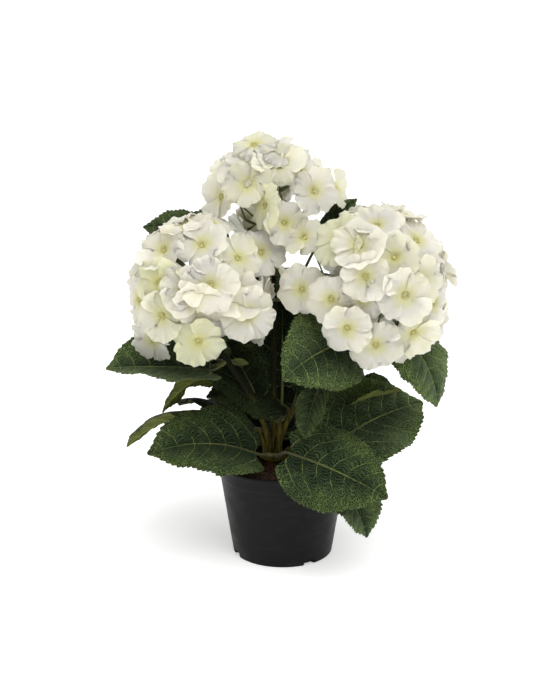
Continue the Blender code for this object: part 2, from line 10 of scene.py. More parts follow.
import bpy
import numpy as np
from bpy.props import FloatProperty, FloatVectorProperty, IntProperty, PointerProperty
from mathutils.bvhtree import BVHTree
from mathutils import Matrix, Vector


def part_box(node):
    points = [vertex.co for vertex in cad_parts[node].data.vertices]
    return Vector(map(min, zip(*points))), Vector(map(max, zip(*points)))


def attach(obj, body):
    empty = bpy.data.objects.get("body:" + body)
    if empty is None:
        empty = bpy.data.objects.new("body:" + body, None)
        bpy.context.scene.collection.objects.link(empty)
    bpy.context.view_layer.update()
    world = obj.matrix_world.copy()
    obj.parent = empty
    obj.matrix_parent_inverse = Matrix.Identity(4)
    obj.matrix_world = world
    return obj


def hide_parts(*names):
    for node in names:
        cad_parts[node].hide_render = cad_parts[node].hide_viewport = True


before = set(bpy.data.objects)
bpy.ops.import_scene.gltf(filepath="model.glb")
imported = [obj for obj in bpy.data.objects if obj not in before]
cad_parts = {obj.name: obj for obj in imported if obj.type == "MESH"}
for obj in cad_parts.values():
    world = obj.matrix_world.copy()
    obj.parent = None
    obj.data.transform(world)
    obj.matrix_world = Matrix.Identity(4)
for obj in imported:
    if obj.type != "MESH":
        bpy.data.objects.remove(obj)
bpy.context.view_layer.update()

bl_info = {
    "name": "Potted Hydrangea",
    "version": (1, 0, 0),
    "blender": (4, 5, 0),
    "location": "3D View > Sidebar > Hydrangea",
    "description": "Makes a potted hydrangea with cloth flower heads and leaves, piece by piece",
    "category": "Add Mesh",
}

MM = 0.001
TURN = 2 * math.pi
GOLDEN_ANGLE = math.pi * (3 - math.sqrt(5))

# Seeds of the random draws: each spray, whorl and head adds its own number
FIBRE_SEED = 11
SPRAY_SEED = 40
WHORL_SEED = 60
HEAD_SEED = 1000

# Boxes of the solids, and what follows from them
POT_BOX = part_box("pot")
SOIL_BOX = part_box("soil")
TRUNK_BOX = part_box("trunk")
COLLAR_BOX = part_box("collar")
POT_HEIGHT = POT_BOX[1][2]
POT_LIP_RADIUS = POT_BOX[1][0]
COLLAR_CENTRE = ((COLLAR_BOX[0][0] + COLLAR_BOX[1][0]) / 2, (COLLAR_BOX[0][1] + COLLAR_BOX[1][1]) / 2)
COLLAR_TOP = COLLAR_BOX[1][2]

# Places of the limbs, as the solids have them
NOTCH_BEARINGS = (-58.0, 30.0, 118.0, -157.0)
BOUGH_RING = 4.4 * MM          # how far from the collar's middle the boughs and the low sprays stand
SPRAY_RING = 10.0 * MM
WHORL_START = 0.66             # the share of a flowering stem where its bough ends and its leaves start
WHORL_END = 0.76               # and where its leaves end and its head's stem starts
HUB_DROP = 0.46                # how far a head's hub lies below its centre, as a share of its radius
BRANCH_REACH = 0.42            # how far its branches reach from the hub to the dome, as a share of the way
BRANCH_COUNT = 6
DOME_FLOOR = -0.74             # the height, as a share of a head's radius, under which it has no florets
HEART_DEPTH = 2.5 * MM         # how deep the florets' hearts lie in the dome
FRONT = (-90.0, 16.0)          # the bearing and elevation from which a head's front is seen
FRONT_SHARE = 0.34             # the florets that lie nearer to it than this cosine are listed, and none are added

EYE = (-0.0025, -1.300, 0.573)  # where the camera stands
CAMERA_TILT = 73.7              # its tilt from straight down
FLOOR_SIDES = 64
# Openings between the heads that the camera sees through, on the middle plane: across, height and radius
OPENINGS = ((-46, 320, 5), (24, 319, 4), (22, 279, 7), (12, 330, 4), (5, 271, 4))

# A leaf's stalk leaves its joint along `bearing` and ends `out` and `up` from it, in millimetres. The blade
# starts there along `heading`, climbs at `rise` and turns down by `droop` on its way to the tip. `roll` lifts its
# left half and lowers its right half, `cup` turns both edges up, and `broad` widens it. The last field gives its
# upper side's painted light: "plain" for none, "shaded" for painted shade that darkens all its colours, and
# "pale" for painted light that brightens them, with more sheen.
Leaf = namedtuple("Leaf", "bearing out up heading length rise droop roll cup broad dye", defaults=(1.0, "plain"))

# A low spray: its bearing on the collar, its joint in millimetres, and its leaves
Spray = namedtuple("Spray", "name foot_bearing joint leaves")

# A floret of a head's front: its bearing and elevation from the head's centre, its radius, its tint, how far it
# stands out of the dome, and the bearing and elevation that it looks along. One of radius 0 keeps its place bare.
Floret = namedtuple("Floret", "bearing elevation radius tint lift look tilt", defaults=("w", 0, 0, 0))

# A flowering stem: its bearing on the collar, the head's centre and radius in millimetres, how much deeper the
# florets of its sides and back lie, how far the stem leans at its head, the florets of the head's front, and the
# leaves of its whorl
Stem = namedtuple("Stem", "side foot_bearing centre radius sunk lean seed facing leaves")

SPRAYS = (
    Spray("leaves_front_low", 262, (-8, -28, 102), (
        Leaf(171, 17, 1, -166, 101, 27, 45, -32, 10),
        Leaf(-60, 28, 11, -30, 100, -6, 15, 50, -9),
    )),
    Spray("leaves_left_low", 216, (-21, -12, 121), (
        Leaf(123, 49, -4, 176, 110, 16, 65, 21, 0),
        Leaf(133, 30, 2, 136, 84, 28, 63, 16, -3, 0.9, "shaded"),
    )),
    Spray("leaves_right_low", 335, (10, -14, 106), (
        Leaf(-5, 36, 1, 35, 108, 26, 29, 33, 10, 1.1, "pale"),
        Leaf(33, 55, 29, 32, 69, 14, 30, 12, 42, 0.85),
        Leaf(-53, 50, -12, -32, 67, -28, 49, 17, 20, 1.12, "pale"),
        Leaf(58, 34, 20, 42, 96, 24, 68, 10, 0),
    )),
    Spray("leaves_middle", 305, (-3, -19, 132), (
        Leaf(72, 23, 5, -175, 81, 49, 80, -26, -7, 0.95, "shaded"),
        Leaf(84, 26, 24, 90, 104, 70, 44, 0, 0, 1.0, "shaded"),
        Leaf(60, 26, 8, 62, 96, 62, 46, 0, 0, 1.0, "shaded"),
        Leaf(150, 24, 18, 128, 94, 55, 50, 0, 0, 1.0, "shaded"),
    )),
    Spray("leaves_back_low", 90, (-8, 8, 106), (
        Leaf(158, 24, -2, 152, 98, 16, 74, 14, -8),
        Leaf(70, 14, 1, 70, 102, 7, 76, 0, -8),
        Leaf(112, 14, 1, 112, 102, 6, 76, 0, -8),
        Leaf(98, 20, 8, 104, 92, 44, 62, 0, -8, 1.0, "shaded"),
        Leaf(20, 32, -2, 30, 98, 16, 76, -14, -8),
    )),
)

STEMS = (
    Stem("left", 190, (-70, -20, 253), 64, 2, 26, 20,
         ((-54, -6, 24.5, "w", 6, -84, 4), (-81, 18, 25, "w", 4, -88, 24), (-92, 3, 22, "w", -1, -84, -18),
          (-58, 8, 23, "w", 0, -80, 22), (-88, 53, 24, "w", 1, -88, 48), (19, 82, 23, "w", 0, -60, 80),
          (-6, 35, 22.5, "w", 2, -70, 34), (-127, 18, 23, "g", 1, -118, 14), (-124, -9, 22, "c", -1, -108, -2),
          (-92, -28, 23.5, "g", 3, -94, -14), (-161, -41, 20.5, "w", 1, -120, -22), (-138, 45, 23, "w", 0, -122, 44),
          (-101, 14, 22.5, "w", -1, -100, 8), (-156, -2, 21.5, "w", -1, -142, 0), (-143, 74, 23, "w", 0, -110, 66),
          (-46, 39, 21, "c", -2, -58, 34), (-18, -31, 0)), (
             Leaf(74, 31, -17, -165, 84, 5, 63, 34, 0),
             Leaf(-160, 16, -7, -168, 93, 10, 11, -24, 24, 1.08, "pale"),
             Leaf(128, 26, -2, 134, 94, 24, 62, 0, 0),
         )),
    Stem("right", -10, (73, -22, 258), 72, 2, 26, 55,
         ((-147, 5, 21.5, "w", -1, -112, 8), (-66, 6, 24.5, "w", 2, -78, 4), (-106, -16, 22.5, "w", 4, -100, -4),
          (-85, -30, 24, "w", 3, -90, -6), (-118, 3, 21, "w", 1, -102, 8), (-94, 20, 21.5, "w", 2, -92, 16),
          (-95, 5, 20.5, "w", -3, -96, -4), (-52, -25, 21, "c", 0, -66, -18), (-121, 45, 24, "g", 1, -112, 34),
          (-101, 42, 23, "w", 2, -95, 36), (-79, 62, 23, "w", 0, -84, 62), (-50, 14, 22, "c", 0, -60, 14),
          (-37, 43, 24, "w", 1, -54, 40), (-36, -5, 18.5, "w", -1, -48, -6), (-176, 39, 19.5, "c", 1.5, -118, 32),
          (-70, 33, 22, "c", 1, -74, 30), (-100, -50, 0), (-66, -50, 0), (-135, -25, 0),
          (173, -23, 0), (-160, -29, 0), (141, 70, 0)), (
             Leaf(-54, 19, 21, -128, 99, 9, 31, -56, 7),
             Leaf(-123, 30, -18, -127, 47, -43, 40, 6, 5, 0.9),
             Leaf(10, 51, 26, -33, 84, -21, 67, 12, -5, 1.0, "pale"),
             Leaf(62, 30, -2, 48, 94, 22, 62, 0, 0),
         )),
    Stem("top", 90, (-8, 42, 316), 64, 9, 4, 3,
         ((-53, 21, 21.5, "w", 3, -74, 18), (-83, 49, 24, "c", 0, -92, 46), (-115, 28, 23, "c", 1, -112, 30),
          (-98, 12, 22, "g", 1, -138, 8), (-81, -2, 20.5, "w", 2, -72, 4), (-128, 41, 22, "w", 0, -122, 42),
          (-133, 67, 20.5, "c", 4, -110, 62), (-71, 63, 22, "w", 1, -70, 64), (-59, 42, 21, "w", -2, -56, 44),
          (1, 16, 20.5, "c", -2, -24, 22), (-144, 15, 22, "w", -1, -146, 14), (10, 56, 21, "w", -15, 20, 54),
          (27, -2, 0)), (
             Leaf(161, 53, 49, 174, 73, 29, 35, -35, 0),
             Leaf(-113, 15, 31, -132, 47, 60, 10, 0, 0),
             Leaf(4, 42, 56, 9, 50, 56, 15, 20, 0),
             Leaf(46, 20, 6, 44, 92, 30, 84, 0, 0),
             Leaf(106, 22, 4, 102, 92, 30, 84, 0, 0),
         )),
)

# Part of a piece: its corners, its four-cornered faces, each face's material number, and its UV maps by name
Part = namedtuple("Part", "points faces kinds maps")


# Sizes and colours that a user would change ----------

def tone(name, thing, value):
    """The colour of a thing, as a property with the given default."""
    return FloatVectorProperty(name=name, description=f"Colour of {thing}", subtype="COLOR", size=3, min=0.0,
                               max=1.0, default=value)


def length(name, description, value):
    """A length property, in metres, with the given default."""
    return FloatProperty(name=name, description=description, unit="LENGTH", min=0.0, default=value, precision=5)


def share(name, description, value):
    """A factor property, from 0 to 1, with the given default."""
    return FloatProperty(name=name, description=description, subtype="FACTOR", min=0.0, max=1.0, default=value)


def strength(name, description, value):
    """A light's strength, from 0 up, with the given default."""
    return FloatProperty(name=name, description=description, min=0.0, default=value)


class PotSettings(bpy.types.PropertyGroup):
    height: length("Height", "Height of the pot", POT_HEIGHT)
    lip_radius: length("Lip radius", "Radius of the pot at its lip", POT_LIP_RADIUS)
    base_radius: length("Base radius", "Radius of the pot at its foot", 46.0 * MM)
    band: length("Band height", "Height of the plain band under the lip", 15.0 * MM)
    band_step: length("Band step", "How far the band stands out of the wall", 0.8 * MM)
    wall: length("Wall", "Thickness of the wall", 1.6 * MM)
    notch_width: length("Notch width", "Width of each drain notch under the foot", 10.5 * MM)
    notch_height: length("Notch height", "Height of each drain notch", 4.0 * MM)
    notch_depth: length("Notch depth", "How far each notch reaches into the foot", 4.2 * MM)
    colour: tone("Plastic", "the pot's plastic", (0.0046, 0.0047, 0.0049))
    roughness: share("Roughness", "Roughness of the pot's plastic", 0.43)


class FillingSettings(bpy.types.PropertyGroup):
    fibres: IntProperty(name="Fibres", description="Number of loose fibres on the filling", min=0, default=1500)
    relief: length("Relief", "Height of the crumbs in the filling", 1.1 * MM)
    # the hollows' colour is painted shade between the crumbs
    dark: tone("Dark", "the hollows", (0.020, 0.009, 0.005))
    light: tone("Light", "the crumbs", (0.095, 0.040, 0.020))


class StemSettings(bpy.types.PropertyGroup):
    bark: tone("Bark", "the trunk", (0.085, 0.034, 0.017))
    sleeve: tone("Sleeve", "the sleeved stems", (0.092, 0.076, 0.008))
    sleeve_dark: tone("Sleeve shade", "the streaks along the stems", (0.026, 0.023, 0.004))
    stalk: tone("Stalk", "the leaf stalks", (0.090, 0.086, 0.016))
    pedicel: tone("Floret stalk", "the floret stalks", (0.190, 0.210, 0.045))


class LeafSettings(bpy.types.PropertyGroup):
    width: share("Width", "Greatest width as a share of the length", 0.775)
    thickness: length("Thickness", "Thickness of the cloth", 0.5 * MM)
    teeth: IntProperty(name="Teeth", description="Number of teeth along each edge", min=6, default=23)
    tooth_depth: length("Tooth depth", "How far each tooth stands out", 1.7 * MM)
    veins: IntProperty(name="Side veins", description="Number of side veins on each half", min=3, default=7)
    pucker: length("Pucker", "Height of the cloth between two side veins", 1.7 * MM)
    deep: tone("Deep green", "Colour beside the midrib", (0.0030, 0.0088, 0.0038))
    olive: tone("Olive green", "Colour towards the edge", (0.0104, 0.0222, 0.0048))
    mesh_pale: tone("Pale netting", "the fine netting", (0.160, 0.225, 0.122))
    mesh_edge: tone("Netting at the edge", "the fine netting towards the edge", (0.215, 0.288, 0.098))
    vein: tone("Vein", "the midrib and the side veins", (0.350, 0.405, 0.125))
    underside: tone("Underside", "the underside", (0.112, 0.130, 0.024))


class FloretSettings(bpy.types.PropertyGroup):
    least_radius: length("Least radius", "Radius of the smallest floret", 20.0 * MM)
    most_radius: length("Greatest radius", "Radius of the largest floret", 24.5 * MM)
    spacing: length("Spacing", "Least distance between the hearts of two florets", 27.0 * MM)
    layer: length("Layer", "Distance between the layers that the florets lie in", 3.6 * MM)
    thickness: length("Thickness", "Thickness of the petals' cloth", 0.28 * MM)
    white: tone("White", "the white petals", (0.865, 0.812, 0.695))
    ivory: tone("Ivory", "the ivory petals", (0.83, 0.800, 0.595))
    green: tone("Pale green", "the pale green petals", (0.76, 0.760, 0.460))
    back: tone("Back", "the petals' backs", (0.80, 0.770, 0.620))
    throat: tone("Throat", "the throats", (0.74, 0.70, 0.23))
    heart: tone("Heart", "the beads in the throats", (0.68, 0.62, 0.24))


class StudioSettings(bpy.types.PropertyGroup):
    floor_radius: length("Floor radius", "Radius of the pale floor", 12.0)
    floor: tone("Floor", "the pale floor", (0.93, 0.93, 0.93))
    floor_glow: strength("Floor glow", "Light that the floor gives off itself", 0.40)
    sky: strength("Overhead", "Strength of the light from overhead", 0.80)
    low_sky: strength("Surround", "Strength of the light from the sides", 0.42)
    key: strength("Key light", "Strength of the key light", 1.8)
    lens: FloatProperty(name="Lens", description="Focal length", unit="CAMERA", min=1.0, default=77.14)


# Directions, curves and smooth chance ----------

def woven(*parts):
    """Arrays spread to one shape and laid side by side as a last axis, such as x, y and z."""
    return np.stack(np.broadcast_arrays(*parts), axis=-1)


def unit(vectors):
    """Vectors at length one."""
    vectors = np.asarray(vectors, dtype=float)
    return vectors / np.maximum(np.linalg.norm(vectors, axis=-1, keepdims=True), 1e-12)


def direction(bearing, elevation=0.0):
    """The unit vector at a bearing and an elevation, or one for each of many."""
    turn, climb = np.radians(bearing), np.radians(elevation)
    return round_axis(np.cos(climb), turn, np.sin(climb))


def dots(first, second):
    """Products of matching vectors, kept as a last axis of one."""
    return np.sum(first * second, axis=-1, keepdims=True)


def smooth(value, low, high):
    """0 below `low`, 1 above `high`, and 3t^2 - 2t^3 between."""
    t = np.clip((value - low) / (high - low), 0.0, 1.0)
    return t * t * (3 - 2 * t)


def bezier(start, first, second, end, steps):
    """Points along cubic curves: (1-t)^3 A + 3(1-t)^2 t B + 3(1-t) t^2 C + t^3 D, for one curve or for many."""
    t = np.linspace(0.0, 1.0, steps)[:, None]
    start, first, second, end = (point[..., None, :] for point in (start, first, second, end))
    return (1 - t)**3 * start + 3 * (1 - t)**2 * t * first + 3 * (1 - t) * t**2 * second + t**3 * end


def lengths_along(path):
    """The length of a path up to each of its points."""
    return np.concatenate([[0.0], np.cumsum(np.linalg.norm(np.diff(path, axis=0), axis=1))])


def read_off(wanted, known, rows):
    """Rows of three numbers that are known at some places, read off at others."""
    return woven(*(np.interp(wanted, known, column) for column in rows.T))


def part_of(path, start, end, steps):
    """The stretch of a path between two shares of its length, as evenly spaced points."""
    lengths = lengths_along(path)
    return read_off(np.linspace(start, end, steps) * lengths[-1], lengths, path)


def turns(count):
    """Angles that part a full turn evenly, in radians."""
    return np.arange(count) * TURN / count


def round_axis(radius, turn, height):
    """Points round the upright axis."""
    return woven(radius * np.cos(turn), radius * np.sin(turn), height)


def from_axis(points):
    """Distances from the upright axis."""
    return np.hypot(points[..., 0], points[..., 1])


def bearings(points):
    """Angles about the upright axis, in radians."""
    return np.arctan2(points[..., 1], points[..., 0])


def drawn_in(points, factor):
    """Points drawn towards the upright axis, their x and y multiplied by a factor."""
    return points * woven(factor, factor, 1.0)


def ripple(points, size, seed):
    """Smooth chance between about -1 and 1: the mean of eight sine waves of wavelength near `size`.

    Each wave has its own direction, wavelength and phase, drawn from the seed.
    """
    rng = np.random.default_rng(seed)
    waves = unit(rng.normal(size=(8, 3))) * TURN / (size * rng.uniform(0.6, 1.5, (8, 1)))
    return np.sin(np.asarray(points) @ waves.T + rng.uniform(0, TURN, 8)).mean(axis=-1) * 2.2


# Surfaces ----------

def grid_quads(rows, columns, ring=False):
    """Corner numbers of the faces of a grid that is numbered row by row.

    A face runs one row on and then one column on, so it looks along (row direction) x (column direction). With
    `ring`, the last column joins the first.
    """
    row = np.arange(rows - 1)[:, None] * columns
    column = np.arange(columns if ring else columns - 1)[None, :]
    onward = (column + 1) % columns
    below = row + columns
    return woven(row + column, below + column, below + onward, row + onward).reshape(-1, 4)


def fan_quads(sides):
    """Faces that close a ring of an even number of corners, looking along the ring's axis."""
    first = np.arange(1, sides - 1, 2)
    return np.stack([0 * first, first, first + 1, first + 2], axis=-1)


def closed_faces(rings, sides):
    """Faces of a row of rings that are numbered one after the other, with its two ends."""
    first, last = fan_quads(sides)[:, ::-1], fan_quads(sides) + (rings - 1) * sides
    return np.vstack([grid_quads(rings, sides, ring=True)[:, ::-1], first, last])


def repeat_faces(faces, count, points_each):
    """One set of faces, again for each of `count` copies of its points."""
    return (faces[None] + (np.arange(count) * points_each)[:, None, None]).reshape(-1, 4)


def plain_part(points, faces, kind=0):
    """A part of one material and no UV maps."""
    points, faces = np.asarray(points, dtype=float).reshape(-1, 3), np.asarray(faces)
    return Part(points, faces, np.full(len(faces), kind), {})


def tubes(paths, radii, sides, kind=0):
    """Closed tubes along paths: each point is centre + r (cos a * across + sin a * beside).

    `paths` has the shape (tubes, steps, 3), or (steps, 3) for one tube. `radii` has the shape (steps) or any that
    fits (tubes, steps, sides). `across` is square to the plane that a path bends in, so a tube never twists.
    """
    paths = paths[None] if paths.ndim == 2 else paths
    count, steps = paths.shape[:2]
    radii = radii[:, None] if radii.ndim == 1 else radii
    radii = np.broadcast_to(radii, (count, steps, sides))[..., None]
    tangents = unit(np.gradient(paths, axis=1))
    chord = paths[:, -1] - paths[:, 0]
    normal = np.cross(paths[:, steps // 2] - paths[:, 0], chord)
    bent = np.linalg.norm(normal, axis=-1, keepdims=True) > 1e-3 * np.linalg.norm(chord, axis=-1, keepdims=True)**2
    normal = np.where(bent, normal, np.cross(chord, (0.3, 1.0, 0.2)))[:, None]
    across = unit(normal - tangents * dots(normal, tangents))
    beside = np.cross(tangents, across)
    turn = turns(sides)[:, None]
    rings = paths[:, :, None] + radii * (np.cos(turn) * across[:, :, None] + np.sin(turn) * beside[:, :, None])
    return plain_part(rings, repeat_faces(closed_faces(steps, sides), count, steps * sides), kind)


def lathe(profile, centre, segments, shift):
    """A closed outline of (radius, height) rows, spun about the upright axis through a centre.

    Each point is centre + (r cos a, r sin a, z). Its first and last rows have a small radius and are closed by
    faces. `shift` takes the grid of points and gives it back with its relief.
    """
    profile = np.asarray(profile, dtype=float)
    points = shift(round_axis(profile[:, 0, None], turns(segments), profile[:, 1, None])) + np.array([*centre, 0.0])
    return plain_part(points, closed_faces(len(profile), segments))


def rounded(profile, steps=3):
    """An outline with each corner cut by a short curve.

    A row (r, z, b) with b > 0 becomes the curve (1-t)^2 P + 2(1-t)t C + t^2 Q, where C is the corner and P and Q
    lie b away from it on the two straight runs.
    """
    rows = []
    t = np.linspace(0.0, 1.0, steps + 1)[:, None]
    for number, (radius, height, bevel) in enumerate(profile):
        corner = np.array([radius, height])
        if bevel <= 0:
            rows.append(corner[None])
            continue
        before, after = np.array(profile[number - 1][:2]), np.array(profile[number + 1][:2])
        start, end = corner + bevel * unit(before - corner), corner + bevel * unit(after - corner)
        rows.append((1 - t)**2 * start + 2 * (1 - t) * t * corner + t**2 * end)
    return np.vstack(rows)


def shell_pattern(rows, columns):
    """Faces of a thin closed shell over a grid: its top, its bottom and the rim between.

    The top's points come first and the bottom's after them. Gives the faces, each corner's place (u, v) on the
    unit square, and each face's side: 0 for the top and the rim, 1 for the bottom. The rim's lower corners are
    placed a little inside the square, so that the rim has a width there.
    """
    top = grid_quads(rows, columns)
    below = rows * columns
    row, column = np.arange(rows - 1), np.arange(columns - 1)
    left, right = row * columns, row * columns + columns - 1
    last = (rows - 1) * columns
    rims = [
        (right, right + columns, below + right + columns, below + right),
        (left, below + left, below + left + columns, left + columns),
        (last + column, below + last + column, below + last + column + 1, last + column + 1),
        (column, column + 1, below + column + 1, below + column),
    ]
    rim = np.vstack([woven(*corners) for corners in rims])
    faces = np.vstack([top, top[:, ::-1] + below, rim])
    spot = faces % below
    place = woven(spot // columns / (rows - 1), spot % columns / (columns - 1))
    lower = (faces >= below) & (np.arange(len(faces))[:, None] >= 2 * len(top))
    place = np.where(lower[..., None], 0.5 + (place - 0.5) * 0.94, place)
    side = np.concatenate([np.zeros(len(top), int), np.ones(len(top), int), np.zeros(len(rim), int)])
    return faces, place, side


def make_piece(name, parts, materials, crease=50.0):
    """One mesh object of the given parts, with its place in its mesh, shaded smooth up to the crease angle."""
    starts = np.cumsum([0] + [len(part.points) for part in parts[:-1]])
    points = np.vstack([part.points for part in parts])
    faces = np.vstack([part.faces + start for part, start in zip(parts, starts)])
    kinds = np.concatenate([part.kinds for part in parts])
    mesh = bpy.data.meshes.new(name)
    mesh.vertices.add(len(points))
    mesh.vertices.foreach_set("co", points.ravel())
    mesh.loops.add(faces.size)
    mesh.loops.foreach_set("vertex_index", faces.ravel().astype(np.int32))
    mesh.polygons.add(len(faces))
    mesh.polygons.foreach_set("loop_start", np.arange(0, faces.size, 4, dtype=np.int32))
    mesh.polygons.foreach_set("material_index", kinds.astype(np.int32))
    for key in parts[0].maps:
        layer = mesh.uv_layers.new(name=key)
        layer.data.foreach_set("uv", np.vstack([part.maps[key].reshape(-1, 2) for part in parts]).ravel())
    mesh.update(calc_edges=True)
    if mesh.validate():
        raise RuntimeError(f"{name} had faulty faces")
    mesh.shade_smooth()
    mesh.set_sharp_from_angle(angle=math.radians(crease))
    for material in materials:
        mesh.materials.append(material)
    piece = bpy.data.objects.new(name, mesh)
    bpy.context.scene.collection.objects.link(piece)
    return piece


def settle(piece, finish_slot, *nodes):
    """Let a piece ride on the plant's one body and stand for its solids; `finish_slot` is not used."""
    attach(piece, "root")
    if nodes:
        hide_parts(*nodes)


# Materials ----------

class Value:
    """A node's output that can be reckoned with: each sign adds one math node to its tree."""

    def __init__(self, nodes, socket):
        self.nodes, self.socket = nodes, socket

    def __add__(self, other):
        return self.nodes.math("ADD", self, other)

    def __sub__(self, other):
        return self.nodes.math("SUBTRACT", self, other)

    def __rsub__(self, other):
        return self.nodes.math("SUBTRACT", other, self)

    def __mul__(self, other):
        return self.nodes.math("MULTIPLY", self, other)

    def __abs__(self):
        return self.nodes.math("ABSOLUTE", self)


class Nodes:
    """Adds nodes to a tree. Sockets are fed by name, with _ for each blank in it."""

    def __init__(self, tree):
        self.tree = tree

    def feed(self, sockets, values):
        """Set sockets to numbers or colours, or link them to values."""
        for socket, value in zip(sockets, values):
            if isinstance(value, Value):
                self.tree.links.new(value.socket, socket)
            else:
                socket.default_value = (*value, 1.0) if socket.type == "RGBA" else value

    def feed_named(self, node, **inputs):
        """Feed a node's sockets by name."""
        self.feed([node.inputs[key.replace("_", " ")] for key in inputs], inputs.values())

    def add(self, kind, **settings):
        """A new node with the given settings."""
        node = self.tree.nodes.new(kind)
        for key, value in settings.items():
            setattr(node, key, value)
        return node

    def node(self, kind, output=0, settings=(), **inputs):
        """What a new node gives at one of its outputs."""
        node = self.add(kind, **dict(settings))
        self.feed_named(node, **inputs)
        return Value(self, node.outputs[output])

    def math(self, operation, *values):
        """The result of one arithmetic step."""
        node = self.add("ShaderNodeMath", operation=operation)
        self.feed(node.inputs, values)
        return Value(self, node.outputs[0])

    def ramp(self, value, low, high, start=0.0, end=1.0):
        """`start` below `low`, `end` above `high`, and a smooth step between."""
        node = self.add("ShaderNodeMapRange", interpolation_type="SMOOTHSTEP")
        self.feed(node.inputs, (value, low, high, start, end))
        return Value(self, node.outputs[0])

    def mix(self, factor, first, second):
        """A mix of two colours."""
        node = self.add("ShaderNodeMix", data_type="RGBA")
        one, other, mixed = [socket for socket in (*node.inputs, *node.outputs) if socket.type == "RGBA"]
        self.feed((node.inputs["Factor"], one, other), (factor, first, second))
        return Value(self, mixed)

    def blend(self, value, low, high, first, second):
        """`first` where a value is below `low`, `second` above `high`, and a smooth change between."""
        return self.mix(self.ramp(value, low, high), first, second)

    def place(self, stretch=(1.0, 1.0, 1.0)):
        """Object coordinates, stretched."""
        return self.node("ShaderNodeMapping", Vector=self.node("ShaderNodeTexCoord", "Object"), Scale=stretch)

    def axis(self, vector, name):
        """One coordinate of a vector."""
        return self.node("ShaderNodeSeparateXYZ", name, Vector=vector)

    def chart(self, name):
        """The two coordinates of a UV map."""
        spot = self.node("ShaderNodeUVMap", settings={"uv_map": name})
        return self.axis(spot, "X"), self.axis(spot, "Y")

    def vector(self, x, y, z=0.0):
        """A vector of three numbers."""
        return self.node("ShaderNodeCombineXYZ", X=x, Y=y, Z=z)

    def noise(self, scale, detail=3.0, roughness=0.55, stretch=(1.0, 1.0, 1.0), vector=None):
        """Cloudy noise, on stretched object coordinates unless it is given a vector."""
        return self.node("ShaderNodeTexNoise", Vector=vector or self.place(stretch), Scale=scale, Detail=detail,
                         Roughness=roughness)

    def cells(self, vector, scale, feature="DISTANCE_TO_EDGE"):
        """Distance from the nearest edge between random cells, or with "F1" from the nearest cell's middle."""
        return self.node("ShaderNodeTexVoronoi", "Distance", {"feature": feature}, Vector=vector, Scale=scale)


class Recipe(Nodes):
    """Builds one node material on a Principled shader, whose own sockets take the constants."""

    def __init__(self, name, roughness, sheen=0.0, specular=0.5, **constants):
        self.material = bpy.data.materials.new(name)
        self.material.use_nodes = True
        super().__init__(self.material.node_tree)
        self.shader = self.tree.nodes["Principled BSDF"]
        self.feed_named(self.shader, Roughness=roughness, Sheen_Weight=sheen, Specular_IOR_Level=specular, **constants)

    def finish(self, colour, height, distance, strength, **others):
        """Feed the shader the colour, the relief and any other values."""
        bump = self.node("ShaderNodeBump", Height=height, Distance=distance, Strength=strength)
        self.feed_named(self.shader, Base_Color=colour, Normal=bump, **others)
        return self.material


def pot_plastic(settings):
    """Black satin plastic: faint dust, cloudy marks, a fine moulded grain and thin turned lines."""
    recipe = Recipe("pot_plastic", settings.roughness, specular=0.12)
    dust = recipe.ramp(recipe.noise(60.0, stretch=(1.0, 1.0, 3.5)), 0.5, 0.8)
    colour = recipe.mix(dust * 0.4, settings.colour, (0.020, 0.020, 0.021))
    grain = recipe.noise(1900.0, 2.0)
    lines = recipe.noise(900.0, 2.0, stretch=(0.02, 0.02, 1.0))
    rough = recipe.ramp(recipe.noise(45.0, 4.0), 0.3, 0.7, settings.roughness - 0.07, settings.roughness + 0.10)
    return recipe.finish(colour, grain * 0.6 + lines * 0.5, 0.25 * MM, 0.35, Roughness=rough)


def filling_crumbs(settings):
    """The filling: reddish brown crumbs over hollows darkened by painted shade."""
    recipe = Recipe("filling_crumbs", 0.95, sheen=0.1, specular=0.2)
    crumbs = recipe.cells(recipe.place(), 520.0, "F1")
    # painted shade: darker where the crumbs' relief is low, in the hollows between them
    colour = recipe.blend(crumbs, 0.1, 0.75, settings.light, settings.dark)
    colour = recipe.blend(recipe.noise(160.0, 4.0), 0.4, 0.65, colour, (0.045, 0.020, 0.011))
    return recipe.finish(colour, 1.0 - crumbs, 0.8 * MM, 0.8)


def fibre(name, colour):
    """A loose fibre: one tone with fine darker streaks."""
    recipe = Recipe(name, 0.9, sheen=0.15, specular=0.25)
    streaks = recipe.ramp(recipe.noise(700.0, 2.0), 0.35, 0.7)
    return recipe.finish(recipe.mix(streaks, colour, [0.5 * part for part in colour]), streaks, 0.1 * MM, 0.5)


def trunk_bark(settings):
    """The trunk: reddish brown bark with upright furrows and pale flecks."""
    recipe = Recipe("trunk_bark", 0.85, specular=0.25)
    furrows = recipe.noise(420.0, 4.0, 0.6, (1.0, 1.0, 0.25))
    flecks = recipe.ramp(recipe.noise(900.0), 0.58, 0.72)
    colour = recipe.blend(furrows, 0.35, 0.65, (0.026, 0.011, 0.007), settings.bark)
    return recipe.finish(recipe.mix(flecks * 0.5, colour, (0.17, 0.095, 0.05)), furrows, 0.9 * MM, 0.8)


# Painted shade: above these heights the stems' sleeves are mixed towards black, for the shade under the leaves
SHADE_START = 0.125       # the heights between which the stems' sleeves pass into the leaves' shade
SHADE_END = 0.165


